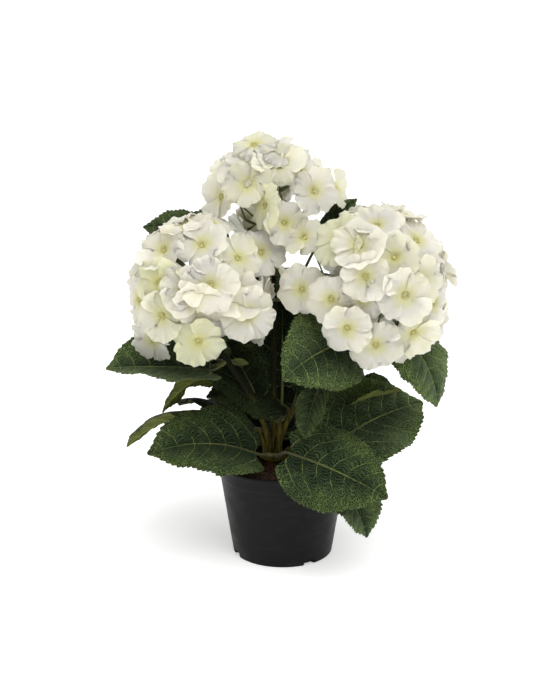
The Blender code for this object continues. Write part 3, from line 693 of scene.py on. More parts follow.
def stem_sleeve(settings):
    """The sleeved stems: olive with darker streaks along them, pale worn flecks, and painted shade that is almost
    black higher up.
    """
    recipe = Recipe("stem_sleeve", 0.75, sheen=0.02, specular=0.12)
    streaks = recipe.noise(520.0, 3.0, 0.6, (1.0, 1.0, 0.16))
    flecks = recipe.ramp(recipe.noise(650.0), 0.6, 0.75)
    colour = recipe.blend(streaks, 0.38, 0.62, settings.sleeve_dark, settings.sleeve)
    colour = recipe.mix(flecks * 0.6, colour, (0.13, 0.12, 0.04))
    # painted shade: mixed towards black between SHADE_START and SHADE_END, standing for the shade under the leaves and
    # heads
    shade = recipe.ramp(recipe.axis(recipe.place(), "Z"), SHADE_START, SHADE_END, 0.0, 0.94)
    return recipe.finish(recipe.mix(shade, colour, (0.003, 0.004, 0.001)), streaks, 0.4 * MM, 0.6)


def green_stalk(name, colour):
    """A green stalk: its tone cloudy along its length, with fine grooves."""
    recipe = Recipe(name, 0.55, sheen=0.15, specular=0.4)
    grooves = recipe.noise(1100.0, 2.0, stretch=(1.0, 1.0, 0.3))
    dark = [part * factor for part, factor in zip(colour, (0.40, 0.50, 0.45))]
    toned = recipe.blend(recipe.noise(90.0), 0.35, 0.65, dark, colour)
    return recipe.finish(recipe.mix(grooves * 0.3, toned, dark), grooves, 0.2 * MM, 0.5)


# A side vein leaves the midrib and bends forward: x = x0 + start y + bend y^2
VEIN_START = 0.22
VEIN_BEND = 2.2
# The cloth between the veins, counted on a stretch as long as the leaf
RUNG_COUNT = 36.0
RUNG_BULGE = 1.3                # how far a rung bulges between two side veins, counted in rungs
NET_CELLS = 62.0
UNDER_NET_CELLS = 46.0
LEAF_SPACING = 7.0              # how far apart two leaves may lie in the noise, in leaf lengths

# The leaves' upper sides by painted light: the factor that multiplies all their colours, which darkens "shaded"
# leaves as painted shade and brightens "pale" ones as painted light, and how much sheen each has
PAINTED_LIGHTS = ("plain", "shaded", "pale")
PAINTED_LIGHT_GAINS = (0.98, 0.37, 1.34)
LEAF_SHEENS = (0.07, 0.03, 0.34)


def leaf_chart(recipe, settings):
    """A point of a leaf: its share of the length, its distances from the midrib, its spot and its vein count.

    The UV map `plan` gives the share of the length and the distance from the midrib as a share of the length.
    `edge` gives the share of the way to the edge and a number of the leaf's own, which sets its spot in the noise
    apart. The vein count runs along the leaf and is whole on each side vein, with a little wander.
    """
    x, y = recipe.chart("plan")
    out, own = recipe.chart("edge")
    across = abs(y)
    wander = (recipe.noise(9.0, 2.0, vector=recipe.vector(x, across)) - 0.5) * 0.035
    count = (x - across * VEIN_START - across * across * VEIN_BEND + wander) * float(settings.veins)
    return x, across, out, recipe.vector(x, y, own * LEAF_SPACING), count


def line_at_whole(recipe, count, width):
    """1 where a number is whole, falling to 0 at `width` from there."""
    return recipe.ramp(abs(recipe.math("FRACT", count + 0.5) - 0.5), 0.0, width, 1.0, 0.0)


def leaf_upper(name, settings, painted_gain, sheen):
    """A leaf's upper side: dark green, olive to the edge, under pale netting, rungs, side veins and a midrib.

    All its colours are multiplied by a gain, which paints shade on the whole leaf below 1 and light above 1. The
    rungs run between the side veins, across them, and bulge outwards by the sine of the vein count.
    """
    recipe = Recipe(name, 0.50, sheen, specular=0.05, Sheen_Roughness=0.35, Sheen_Tint=(0.66, 0.80, 0.50))
    ramp, noise = recipe.ramp, recipe.noise
    x, across, out, spot, count = leaf_chart(recipe, settings)
    edge = out * 0.75 + x * 0.40 + (noise(5.0, vector=spot) - 0.5) * 1.3

    def over(factor, ground, paint):
        return recipe.mix(factor, ground, [painted_gain * part for part in paint])

    def to_edge(start, first, second):
        return over(ramp(edge, start, 1.0), [painted_gain * part for part in first], second)

    side = line_at_whole(recipe, count, ramp(out, 0.0, 1.0, 0.040, 0.030))
    side = side * ramp(out, 0.05, 0.50, 0.45, 1.0) * ramp(out, 0.80, 1.0, 1.0, 0.25)
    midrib = ramp(across, 0.0, ramp(x, 0.0, 1.0, 0.014, 0.005), 1.0, 0.0)
    bulge = abs(recipe.math("SINE", count * math.pi))
    drift = noise(12.0, 2.0, vector=spot) * 2.0
    rungs = line_at_whole(recipe, across * RUNG_COUNT - bulge * RUNG_BULGE + drift, 0.22)
    cells = recipe.cells(spot, NET_CELLS)
    net = ramp(cells, 0.01, 0.13, 1.0, 0.0)
    worn = ramp(noise(11.0, 2.0, vector=spot), 0.38, 0.60, 0.22, 1.0)
    colour = recipe.mix(net * ramp(edge, 0.10, 0.95, 0.12, 0.68), to_edge(0.15, settings.deep, settings.olive),
                        to_edge(0.2, settings.mesh_pale, settings.mesh_edge))
    colour = over(rungs * 0.40, colour, (0.120, 0.178, 0.062))
    colour = over(side * worn, colour, settings.vein)
    colour = over(midrib * ramp(x, 0.20, 0.80, 0.90, 0.35), colour, settings.vein)
    sunk = recipe.math("MAXIMUM", midrib, recipe.math("MAXIMUM", side, rungs * 0.5))
    return recipe.finish(colour, ramp(cells, 0.0, 0.35) * 0.7 - sunk, 0.9 * MM, 0.85,
                         Roughness=ramp(net, 0.0, 1.0, 0.46, 0.62))


def leaf_under(settings):
    """A leaf's underside: pale green cloth with the veins standing out."""
    recipe = Recipe("leaf_under", 0.7, sheen=0.05, specular=0.15)
    _, across, _, spot, count = leaf_chart(recipe, settings)
    veins = recipe.math("MAXIMUM", line_at_whole(recipe, count, 0.09), recipe.ramp(across, 0.0, 0.018, 1.0, 0.0))
    net = recipe.ramp(recipe.cells(spot, UNDER_NET_CELLS), 0.015, 0.16, 1.0, 0.0)
    colour = recipe.blend(recipe.noise(6.0, vector=spot), 0.3, 0.7, settings.underside, (0.085, 0.105, 0.018))
    colour = recipe.mix(net * 0.35, colour, (0.150, 0.180, 0.040))
    colour = recipe.mix(veins * 0.7, colour, (0.24, 0.26, 0.050))
    return recipe.finish(colour, veins + net * 0.4, 0.5 * MM, 0.6)


def petal_cloth(name, colour, shade, throat=None):
    """Petal cloth: fine pleats that run out from the throat, with painted shade in their folds and cream patches at
    random, and a throat that fades into the petal.

    The UV map `petal` gives the distance from the heart as a share of the floret's radius, and the share of the
    petal's half width.
    """
    recipe = Recipe(name, 0.75, sheen=0.15, specular=0.20, Sheen_Roughness=0.5, Subsurface_Weight=0.80,
                    Subsurface_Radius=(1.0, 1.0, 1.0), Subsurface_Scale=3.0 * MM)
    out, across = recipe.chart("petal")
    pleats = recipe.noise(1.0, vector=recipe.vector(out * 4.0, across * 13.0))
    cloud = recipe.noise(45.0, 2.0)
    # the second colour is laid as painted shade along the pleats' folds and as cream patches at random
    fold = recipe.ramp(pleats, 0.34, 0.66, 0.0, 0.20) + recipe.ramp(cloud, 0.40, 0.66, 0.0, 0.60)
    toned = recipe.mix(fold, colour, shade)
    if throat is not None:
        toned = recipe.mix(recipe.ramp(out + (pleats - 0.5) * 0.16, 0.04, 0.60, 0.90, 0.0), toned, throat)
    return recipe.finish(toned, pleats * 0.6 + recipe.noise(330.0), 0.7 * MM, 0.6)


def heart_beads(settings):
    """The beads in a floret's throat: dull yellow with olive shade."""
    recipe = Recipe("heart_beads", 0.6, specular=0.3)
    cloud = recipe.noise(600.0, 2.0)
    colour = recipe.blend(cloud, 0.35, 0.7, settings.heart, (0.50, 0.47, 0.17))
    return recipe.finish(colour, cloud, 0.2 * MM, 0.5)


# Pot, filling, trunk and collar ----------

CORE = 0.05 * MM                # the small radius at which a spun outline is closed
FILLING_GAP = 0.3 * MM          # between the filling and the pot
FIBRE_RING = 52 * MM            # how far from the pot's middle the fibres lie
# The filling's crumbs: the size, seed and weight of each layer of smooth chance
CRUMBS = ((9.0 * MM, 1, 0.5), (3.2 * MM, 2, 0.4), (1.6 * MM, 3, 0.3))
# The trunk's furrows: the depth, the waves round it, how they drift with height, and their phase
FURROWS = ((0.040, 7, 2, 0), (0.030, 13, -3, 1), (0.018, 29, 4, 2))


def pot_wall_radius(settings, height):
    """Radius of the pot's outer wall, which widens evenly from its foot to its lip."""
    top_radius = settings.lip_radius - 2 * settings.band_step
    return settings.base_radius + (top_radius - settings.base_radius) * height / settings.height


def cut_notches(settings):
    """A relief that pushes the foot's wall inwards at each drain notch.

    A point at radius r, bearing a and height z moves in by depth * M(a) * M(z), where M is 1 inside the notch and
    falls to 0 over half a millimetre at its sides.
    """
    half_width = settings.notch_width / 2

    def shift(points):
        radius, bearing = from_axis(points), np.degrees(bearings(points))
        inside = np.zeros(radius.shape)
        for notch in NOTCH_BEARINGS:
            off = np.radians(np.abs((bearing - notch + 180.0) % 360.0 - 180.0)) * settings.base_radius
            inside = np.maximum(inside, 1 - smooth(off, half_width - 0.3 * MM, half_width + 0.5 * MM))
        low = 1 - smooth(points[..., 2], settings.notch_height - 0.3 * MM, settings.notch_height + 0.4 * MM)
        outer = smooth(radius, settings.base_radius - settings.notch_depth - 1 * MM, settings.base_radius - 1 * MM)
        return drawn_in(points, 1 - settings.notch_depth * inside * low * outer / np.maximum(radius, MM))
    return shift


def pot_part(settings):
    """The pot: a tapered wall with a plain band and a rounded lip, and drain notches under its foot."""
    band, height = settings.height - settings.band, settings.height
    lip, wall, step = settings.lip_radius, settings.wall, settings.band_step
    floor = SOIL_BOX[0][2] - FILLING_GAP

    def outer(level):
        return pot_wall_radius(settings, level)

    low = [(outer(level), level, 0.0) for level in
           (3.0 * MM, 3.6 * MM, 4.0 * MM, 4.4 * MM, 5.0 * MM, 9.0 * MM, 20 * MM, 36 * MM, 52 * MM, 66 * MM)]
    profile = rounded([
        (CORE, 1.2 * MM, 0.0),
        (30.0 * MM, 1.2 * MM, 0.5 * MM),
        (32.0 * MM, 0.0, 0.5 * MM),
        (outer(0) - 5.6 * MM, 0.0, 0.0),
        (outer(0) - 3.2 * MM, 0.0, 0.0),
        (outer(0), 0.0, 0.9 * MM),
        (outer(1.8 * MM), 1.8 * MM, 0.0),
        *low,
        (outer(band), band, 0.5 * MM),
        (outer(band) + step, band + 0.9 * MM, 0.35 * MM),
        (outer(band + 5 * MM) + step, band + 5 * MM, 0.0),
        (lip - 0.9 * MM, height - 3.6 * MM, 0.3 * MM),
        (lip, height - 2.8 * MM, 0.4 * MM),
        (lip, height, 1.0 * MM),
        (lip - 2 * wall, height, 1.0 * MM),
        (outer(band) - wall, band, 1.0 * MM),
        (outer(floor) - wall, floor, 1.5 * MM),
        (CORE, floor, 0.0),
    ], 4)
    return lathe(profile, (0.0, 0.0), 360, cut_notches(settings))


def soil_top(across):
    """Height of the filling at a distance from the pot's middle: level, and then falling by 3 mm to the wall."""
    return SOIL_BOX[1][2] - 3.0 * MM * smooth(across, 28 * MM, 58 * MM)


def filling_part(settings, pot):
    """The filling: a plug in the pot, its top raised in crumbs by smooth chance of three sizes."""
    inner = pot.wall + FILLING_GAP
    floor, top = SOIL_BOX[0][2], SOIL_BOX[1][2]
    edge = pot_wall_radius(pot, pot.height - pot.band) - inner
    rings = np.concatenate([np.linspace(edge - 0.2 * MM, 2 * MM, 62), [CORE]])
    profile = np.vstack([
        [(CORE, floor), (pot_wall_radius(pot, floor) - inner, floor)],
        [(edge, pot.height - pot.band), (edge, top - 3.6 * MM)],
        woven(rings, soil_top(rings)),
    ])

    def shift(points):
        crumbs = sum(ripple(points, size, seed) * weight for size, seed, weight in CRUMBS)
        upper = points[..., 2] > top - 3.5 * MM
        edgewise = 1 - smooth(from_axis(points), edge - 1.5 * MM, edge)
        lift = np.where(upper, (crumbs - 0.9) * settings.relief * (0.2 + 0.8 * edgewise), 0.0)
        return points + woven(0.0, 0.0, lift)

    return lathe(profile, (0.0, 0.0), 240, shift)


def fibre_parts(settings, pot):
    """Loose fibres on the filling, in three tones: thin bent tubes that lie on its top."""
    rng = np.random.default_rng(FIBRE_SEED)
    count = settings.fibres
    away = FIBRE_RING * np.sqrt(rng.uniform(0.03, 1.0, count))
    around = rng.uniform(0, TURN, count)
    middle = round_axis(away, around, soil_top(away) - 0.3 * MM)
    heading = direction(rng.uniform(0, 360, count), rng.uniform(-8, 16, count))
    half = rng.uniform(1.2 * MM, 4.2 * MM, count)[:, None]
    bow = rng.normal(size=(count, 3)) * (0.8 * MM, 0.8 * MM, 0.35 * MM) + (0, 0, 0.4 * MM)
    start, end = middle - heading * half, middle + heading * half
    limit = pot_wall_radius(pot, pot.height - pot.band) - pot.wall - 0.8 * MM
    paths = bezier(start, start + heading * half * 0.6 + bow, end - heading * half * 0.6 + bow, end, 4)
    paths = drawn_in(paths, np.minimum(1.0, limit / np.maximum(from_axis(paths), MM)))
    paths[..., 2] = np.minimum(paths[..., 2], SOIL_BOX[1][2] + 1.2 * MM)
    thick = rng.uniform(0.13 * MM, 0.34 * MM, (count, 1, 1)) * np.array([0.5, 1.0, 0.9, 0.4])[None, :, None]
    third = count // 3
    return [tubes(paths[first:first + third], thick[first:first + third], 4, kind)
            for kind, first in enumerate(range(0, 3 * third, third))]


def trunk_part():
    """The trunk: a short post from its flat cut to the collar, widened at its root flare and furrowed.

    Its radius is R(h) (0.93 + furrows), where R = neck + flare (1 - h)^3 at the share h of its height, and the
    furrows are three sine waves round it that drift with height.
    """
    rows, sides = 30, 96
    neck, flare = 8.5 * MM, 3.0 * MM
    foot, top = TRUNK_BOX[0][2], TRUNK_BOX[1][2]
    share_up = np.linspace(0.0, 1.0, rows)[:, None]
    turn = turns(sides)
    furrows = sum(depth * np.sin(waves * turn + drift * share_up + phase) for depth, waves, drift, phase in FURROWS)
    radius = (neck + flare * (1 - share_up)**3) * (0.93 + furrows)
    bow = COLLAR_CENTRE[1] + 1.0 * MM * (1 - share_up)
    points = woven(COLLAR_CENTRE[0] + radius * np.cos(turn), bow + radius * np.sin(turn),
                   foot + (top - foot) * share_up)
    return plain_part(points, closed_faces(rows, sides))


def collar_part():
    """The collar: a knob that the stems stand on, lumpy round its side, with a slightly domed, ringed top."""
    low, high = COLLAR_BOX[0][2], COLLAR_TOP
    radius = (COLLAR_BOX[1][0] - COLLAR_BOX[0][0]) / 2
    profile = rounded([
        (CORE, low, 0.0), (8.4 * MM, low, 0.4 * MM), (radius - 0.4 * MM, low + 2.4 * MM, 0.8 * MM),
        (radius - 0.3 * MM, high - 1.0 * MM, 0.5 * MM), (radius - 1.4 * MM, high, 0.4 * MM),
        (radius - 3.0 * MM, high - 0.3 * MM, 0.2 * MM), (CORE, high, 0.0),
    ], 4)

    def shift(points):
        lumps = 0.022 * np.sin(8 * bearings(points)) + 0.02 * ripple(points, 3 * MM, 5) - 0.02
        return drawn_in(points, 1 + (from_axis(points) / radius)**3 * lumps)

    return lathe(profile, COLLAR_CENTRE, 96, shift)


# Stems ----------

def collar_point(bearing, ring):
    """A point on the collar's top, at a bearing and a distance from its centre."""
    return np.array([*COLLAR_CENTRE, COLLAR_TOP]) + direction(bearing) * ring


def head_centre(stem):
    """The centre of a stem's flower head."""
    return np.array(stem.centre) * MM


def head_hub(stem):
    """The point below a flower head's centre that its main branches start from."""
    return head_centre(stem) - np.array([0, 0, HUB_DROP * stem.radius * MM])


def stem_curve(stem):
    """The line of a flowering stem, from the collar to the hub of its flower head."""
    foot, hub = collar_point(stem.foot_bearing, BOUGH_RING), head_hub(stem)
    outwards = (hub - foot) * (1, 1, 0)
    arriving = unit(unit(outwards) * math.tan(math.radians(stem.lean)) + (0, 0, 1))
    reach = np.linalg.norm(hub - foot)
    return bezier(foot, foot + (0, 0, reach * 0.33), hub - arriving * reach * 0.33, hub, 41)


# A sleeve: its radius at its start and end, its sides, the height of its ribs as a share of its radius, and the
# shares of its length where it has a raised ring
Sleeve = namedtuple("Sleeve", "start end sides ribs rings", defaults=((),))
BOUGH_SLEEVE = Sleeve(3.05 * MM, 2.5 * MM, 20, 0.05, (0.16, 0.45, 0.78))
WHORL_SLEEVE = Sleeve(2.6 * MM, 2.3 * MM, 16, 0.04, (0.3, 0.5, 0.7))
HEAD_SLEEVE = Sleeve(2.2 * MM, 1.9 * MM, 12, 0.04)
SPRAY_SLEEVE = Sleeve(2.0 * MM, 1.8 * MM, 12, 0.04, (0.12, 0.55))
RING_HEIGHT = 0.45 * MM
RING_WIDTH = 0.9 * MM


def sleeve_part(path, sleeve):
    """A sleeved stem: a tapering tube with ribs along it and raised rings.

    r = R(t) (1 - 1.3 ribs + ribs (sin(5a + 2t) + 0.6 sin(9a - 3t))) + height exp(-(d / width)^2) for each ring,
    where d is the distance from the ring along the stem.
    """
    t = np.linspace(0.0, 1.0, len(path))[:, None]
    turn = turns(sleeve.sides)
    waves = np.sin(5 * turn + 2 * t) + 0.6 * np.sin(9 * turn - 3 * t)
    radii = (sleeve.start + (sleeve.end - sleeve.start) * t) * (1 - 1.3 * sleeve.ribs + sleeve.ribs * waves)
    for ring in sleeve.rings:
        radii = radii + RING_HEIGHT * np.exp(-(((t - ring) * lengths_along(path)[-1]) / RING_WIDTH)**2)
    return tubes(path, radii, sleeve.sides)


def spray_stem(spray):
    """A low spray's stem and its direction at its joint: upright from the collar, then bent over."""
    foot, joint = collar_point(spray.foot_bearing, SPRAY_RING), np.array(spray.joint) * MM
    reach = np.linalg.norm(joint - foot)
    path = bezier(foot, foot + (0, 0, reach * 0.4), joint - unit(joint - foot) * reach * 0.3, joint, 25)
    axis = unit(path[-1] - path[-2])
    return np.vstack([path, joint + axis * 0.9 * MM, joint + axis * 1.7 * MM]), axis


# Leaves ----------

def leaf_frame(leaf, base, steps):
    """A leaf's midrib, and its sideways and upward directions, at the given shares of its length.

    The midrib's slope falls evenly from `rise` to `rise - droop`, so each point is the base plus the running sum
    of the direction along it. The sideways direction is level at first and then turned by `roll`.
    """
    fine = np.linspace(0.0, 1.0, 121)
    slope = np.radians(leaf.rise - leaf.droop * fine)
    ahead = direction(leaf.heading)
    along = np.outer(np.cos(slope), ahead) + np.outer(np.sin(slope), (0, 0, 1))
    pieces = (along[1:] + along[:-1]) / 2 * leaf.length * MM / (len(fine) - 1)
    line = base + np.concatenate([np.zeros((1, 3)), np.cumsum(pieces, axis=0)])
    midrib, along = read_off(steps, fine, line), read_off(steps, fine, along)
    level = np.cross((0, 0, 1), ahead)
    upright = np.cross(along, level)
    roll = math.radians(leaf.roll)
    aside = math.cos(roll) * level + math.sin(roll) * upright
    above = math.cos(roll) * upright - math.sin(roll) * level
    return midrib, aside, above


OUTLINE_START = 0.43
OUTLINE_END = 0.80


def leaf_outline(steps):
    """Half the width of a leaf along its length, as a share of its greatest.

    It is s^a (1-s)^b over its own greatest value, with a = OUTLINE_START and b = OUTLINE_END, drawn in by up to
    0.30 just short of the tip.
    """
    def bare(share):
        return share**OUTLINE_START * (1 - share)**OUTLINE_END

    drawn = 1 - 0.30 * np.exp(-((steps - 0.955) / 0.055)**2)
    return bare(steps) / bare(OUTLINE_START / (OUTLINE_START + OUTLINE_END)) * drawn


# The columns of half a blade, as shares of the way to its edge, and the rows of one tooth
LEAF_COLUMNS = np.array([0, 0.035, 0.10, 0.20, 0.32, 0.44, 0.56, 0.67, 0.77, 0.86, 0.93, 1.0])
TOOTH_PHASES = np.array([0.0, 0.34, 0.68, 0.94])
TOOTH_HEIGHTS = np.array([0.0, 0.42, 0.80, 1.0])


def blade_grid(settings):
    """Shares of the length for the rows of a blade, how far each stands out on its tooth, and the columns."""
    teeth = settings.teeth
    rows = ((np.arange(teeth)[:, None] + TOOTH_PHASES) / teeth).ravel()
    tooth = np.tile(TOOTH_HEIGHTS, teeth)
    rows, tooth = np.append(rows, 1.0), np.append(tooth, 0.0)
    return 0.004 + 0.996 * rows, tooth, np.concatenate([-LEAF_COLUMNS[:0:-1], LEAF_COLUMNS])


def blade_part(leaf, base, tile, settings, rng):
    """A leaf's blade: a thin closed shell with teeth, sunk veins, puckered cloth and a waving edge.

    At a share s of the length and v from the midrib to the edge, a top point is
    midrib(s) + aside * y + above * z + ahead * x, with y = v (half + tooth) cos(cup |v|) and z the sum of
      a cup               half |v| sin(cup |v|)
      a pillow            0.40 half |v| (1 - |v|), more or less
      waves at the edge   half (|v|^3 sin(2.1 turns) + |v|^5 sin(5.3 turns)), each of the leaf's own height
      a slow bow          0.012 length |v| sin(1.2 turns)
      a pucker            pucker (|sin(pi n)|^0.8 - 0.55) between side veins, n being the vein count
      a sunk midrib       -0.6 mm exp(-(y / 1.4 mm)^2) (1 - s).
    x leans each tooth forward by 0.9 mm and draws the two lobes at the stalk back by 0.12 length |v|^1.5 (1 - s)^5.
    The bottom lies a thickness below, and a ridge of 1.1 mm exp(-(y / 1.3 mm)^2) (1 - s)^0.7 runs under the midrib.
    """
    s, tooth, v = blade_grid(settings)
    size = leaf.length * MM
    midrib, aside, above = leaf_frame(leaf, base, s)
    half = (leaf_outline(s) * settings.width * leaf.broad * size / 2 + 0.5 * MM * (1 - s))[:, None]
    s, tooth, v = s[:, None], tooth[:, None], v[None, :]
    out = np.abs(v)
    near_edge = smooth(out, 0.80, 1.0)
    toothed = near_edge * smooth(s, 0.02, 0.12) * (1 - 0.6 * smooth(s, 0.85, 1.0))
    y = np.sign(v) * (half * out + settings.tooth_depth * (tooth - 0.35) * toothed * rng.uniform(0.8, 1.15))
    phases = rng.uniform(0, TURN, 6)

    def wave(turns, power, left_phase, right_phase, low, high):
        rise = np.sin(TURN * turns * s + np.where(v < 0, left_phase, right_phase))
        return rise * out**power * rng.uniform(low, high)

    waves = wave(2.1, 3, phases[0], phases[1], 0.05, 0.10) + wave(5.3, 5, phases[2], phases[3], 0.02, 0.045)
    reach = np.abs(y) / size
    count = (s - VEIN_START * reach - VEIN_BEND * reach**2) * settings.veins
    pucker = settings.pucker * (np.abs(np.sin(math.pi * count))**0.8 - 0.55)
    pucker = pucker * smooth(out, 0.0, 0.22) * (1 - 0.5 * near_edge)
    pucker = pucker * smooth(s, 0.03, 0.15) * (1 - smooth(s, 0.85, 1.0))
    sunk = -0.6 * MM * np.exp(-(y / (1.4 * MM))**2) * (1 - s)
    cup = math.radians(leaf.cup) * out
    pillow = 0.40 * half * out * (1 - out) * rng.uniform(0.6, 1.2)
    bow = 0.012 * size * np.sin(TURN * 1.2 * s + phases[4]) * out
    lift = half * out * np.sin(cup) + pillow + half * waves + pucker + sunk + bow
    y = y * np.cos(cup)
    lobes = 0.12 * size * out**1.5 * (1 - s)**5 * smooth(s, 0.0, 0.02)
    forward = 0.9 * MM * tooth * toothed - lobes
    ahead = unit(np.gradient(midrib, axis=0))
    top = (midrib[:, None] + aside[:, None] * y[..., None] + above[:, None] * lift[..., None]
           + ahead[:, None] * forward[..., None])
    ridge = 1.1 * MM * np.exp(-(y / (1.3 * MM))**2) * (1 - s)**0.7
    bottom = top - above[:, None] * (settings.thickness + ridge)[..., None]
    rows, columns = top.shape[:2]
    faces, place, side = shell_pattern(rows, columns)
    plan = woven(s, y / size).reshape(-1, 2)
    edge = woven(out + 0 * s, rng.uniform(0.0, 1.0)).reshape(-1, 2)
    corner, span = tile
    shifted = place + np.where(side[:, None, None] == 1, (0.0, 1.08), (0.0, 0.0))
    flat = faces % (rows * columns)
    maps = {"plan": plan[flat], "edge": edge[flat], "OFBake": corner + shifted * span * (0.94, 0.45)}
    kinds = np.where(side == 1, len(PAINTED_LIGHTS), PAINTED_LIGHTS.index(leaf.dye))
    return Part(np.concatenate([top.reshape(-1, 3), bottom.reshape(-1, 3)]), faces, kinds, maps)


# Where a leaf's stalk runs on under its midrib: shares of the length, and its depth there
UNDER_SHARES = np.array([0.04, 0.10, 0.18, 0.28, 0.40, 0.54, 0.68])
UNDER_DEPTHS = np.array([0.5, 0.8, 0.9, 0.95, 0.95, 0.9, 0.8]) * MM
STALK_RADII = (1.45 * MM, 1.3 * MM, 0.45 * MM)      # at the joint, at the blade and at the end under the midrib


def leaf_stalk(leaf, joint, axis):
    """A leaf's stalk: a socket round its root, a ring, and a thin stalk that runs on under the midrib.

    It leaves the stem nearly square to the stem's own direction, as a cubic curve, and meets the blade from below.
    """
    base = joint + direction(leaf.bearing) * leaf.out * MM + np.array([0, 0, leaf.up * MM])
    start = direction(leaf.heading, leaf.rise)
    reach = np.linalg.norm(base - joint)
    outward = unit(base - joint)
    outward = unit(outward - 0.8 * np.dot(outward, axis) * axis)
    curve = bezier(joint, joint + outward * reach * 0.35, base - start * reach * 0.35, base, 22)
    midrib, _, above = leaf_frame(leaf, base, UNDER_SHARES)
    path = np.vstack([curve, midrib - above * UNDER_DEPTHS[:, None]])
    along = lengths_along(path)
    socket = min(7.0 * MM, 0.4 * reach)
    thin = np.interp(along, [0, reach, along[-1]], STALK_RADII)
    cuff = 0.75 * MM * (1 - smooth(along, socket - 0.5 * MM, socket + 0.7 * MM))
    cuff = cuff * (0.6 + 0.4 * smooth(along, 0, socket))
    radii = thin + cuff + 0.3 * MM * np.exp(-((along - socket) / (0.5 * MM))**2)
    return base, tubes(path, radii, 10, 1)


def leaf_tiles(count):
    """Places for a number of leaves on the unit square, as (corner, span)."""
    columns = math.ceil(math.sqrt(count / 1.6))
    rows = math.ceil(count / columns)
    span = np.array([1.0 / columns, 1.0 / rows])
    return [(span * (number % columns, number // columns) + span * 0.03, span * 0.94) for number in range(count)]


def make_foliage(name, plant, stem, joint, axis, materials, settings, seed):
    """A mass of leaves: one piece of blades, which stands for the solid, and one of its stem and stalks."""
    rng = np.random.default_rng(seed)
    blades, twigs = [], [stem]
    for leaf, tile in zip(plant.leaves, leaf_tiles(len(plant.leaves))):
        base, stalk = leaf_stalk(leaf, joint, axis)
        twigs.append(stalk)
        blades.append(blade_part(leaf, base, tile, settings, rng))
    settle(make_piece(f"{name}_blades", blades, materials["blades"]), "leaves", name)
    settle(make_piece(f"{name}_twigs", twigs, materials["twigs"]), "stems")


# Flower heads ----------

# White, cream and pale green florets, and how often each comes where none is listed
TINTS = "wcg"
TINT_SHARES = (0.66, 0.20, 0.14)
DOME_STEPS = 600                    # places tried from the crown down to the skirt
SIGHT_SHARE = 0.70                  # the share of a floret's radius that stays clear of an opening

# How far past the planes between two heads a listed floret's heart may lie, and how far the others keep from them
LISTED_MARGIN = -8 * MM
OTHER_MARGIN = 9 * MM
# How near the head's solid each kind of floret has to be
LISTED_NEARNESS = 22 * MM
OTHER_NEARNESS = 13 * MM
# How much a floret looks upwards, and how much of its direction is chance
UPWARD_LOOK = 0.15
OTHER_CHANCE = 0.26
LISTED_CHANCE = 0.06


def dome_florets(stem, front, settings, rng):
    """Directions, radii and tints of a head's florets.

    Those of its front come first. The rest follow a golden-angle spiral from the crown down to the skirt, and one
    is left out where it would crowd a floret that is there already.
    """
    found = [direction(floret.bearing, floret.elevation) for floret in front]
    radii, tints = [floret.radius * MM for floret in front], [floret.tint for floret in front]
    crowded = math.cos(settings.spacing / (stem.radius * MM))
    for step in range(DOME_STEPS):
        height = 1.0 - (1.0 - DOME_FLOOR) * (step + 0.5) / DOME_STEPS
        turn = stem.seed + step * GOLDEN_ANGLE
        candidate = round_axis(math.sqrt(1.0 - height * height), turn, height)
        if max(np.dot(candidate, other) for other in found) < crowded:
            found.append(candidate)
            radii.append(rng.uniform(settings.least_radius, settings.most_radius))
            tints.append(rng.choice(list(TINTS), p=TINT_SHARES))
    return np.array(found), np.array(radii), tints


def dome_layers(places):
    """A layer (-1, 0 or 1) for each floret: the one in which the nearest floret so far is the farthest away."""
    layers = []
    for number, place in enumerate(places):
        near = [max([np.dot(place, places[other]) for other in range(number) if layers[other] == layer], default=-1.0)
                for layer in (-1, 0, 1)]
        layers.append(int(np.argmin(near)) - 1)
    return np.array(layers)


def within_space(hearts, stem, margins):
    """Whether florets' hearts are on their own head's side of the planes that part it from the other heads.

    Each heart keeps its own margin from those planes.
    """
    centre = head_centre(stem)
    inside = np.ones(len(hearts), bool)
    for other in STEMS:
        if other is stem:
            continue
        apart = head_centre(other) - centre
        distance = np.linalg.norm(apart)
        border = (distance**2 + (stem.radius * MM)**2 - (other.radius * MM)**2) / (2 * distance)
        inside &= (hearts - centre) @ (apart / distance) <= border - margins
    return inside


def beside_solid(hearts, node, reaches):
    """Whether the head's own solid has anything within reach of each heart, so that gaps in it stay open."""
    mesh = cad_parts[node].data
    points = np.empty(len(mesh.vertices) * 3)
    mesh.vertices.foreach_get("co", points)
    tree = BVHTree.FromPolygons(points.reshape(-1, 3).tolist(), [tuple(face.vertices) for face in mesh.polygons])
    return np.array([tree.find_nearest(heart, reach)[0] is not None
                     for heart, reach in zip(hearts.tolist(), reaches.tolist())])


def clear_of_openings(hearts, radii):
    """Whether florets leave the camera's lines of sight through the openings between the heads clear."""
    clear = np.ones(len(hearts), bool)
    for across, height, radius in OPENINGS:
        sight = unit(np.array([across, 0.0, height]) * MM - EYE)
        away = np.linalg.norm(np.cross(hearts - EYE, sight), axis=1)
        clear &= away > SIGHT_SHARE * radii + radius * MM
    return clear


def floret_axes(facings):
    """Two directions square to each floret's facing and to each other."""
    across = unit(np.cross(facings, (0.2, 0.3, 1.0)))
    return across, np.cross(facings, across)


PETAL_ROWS = 8
PETAL_COLUMNS = 18
THROAT_RADIUS = 1.9 * MM
THROAT_OPENING = 46.0
# The scallops of a petal's edge: waves on each half of its width, and their height as a share of its length
SCALLOPS = ((1.0, 0.030), (1.9, 0.026), (2.8, 0.016))
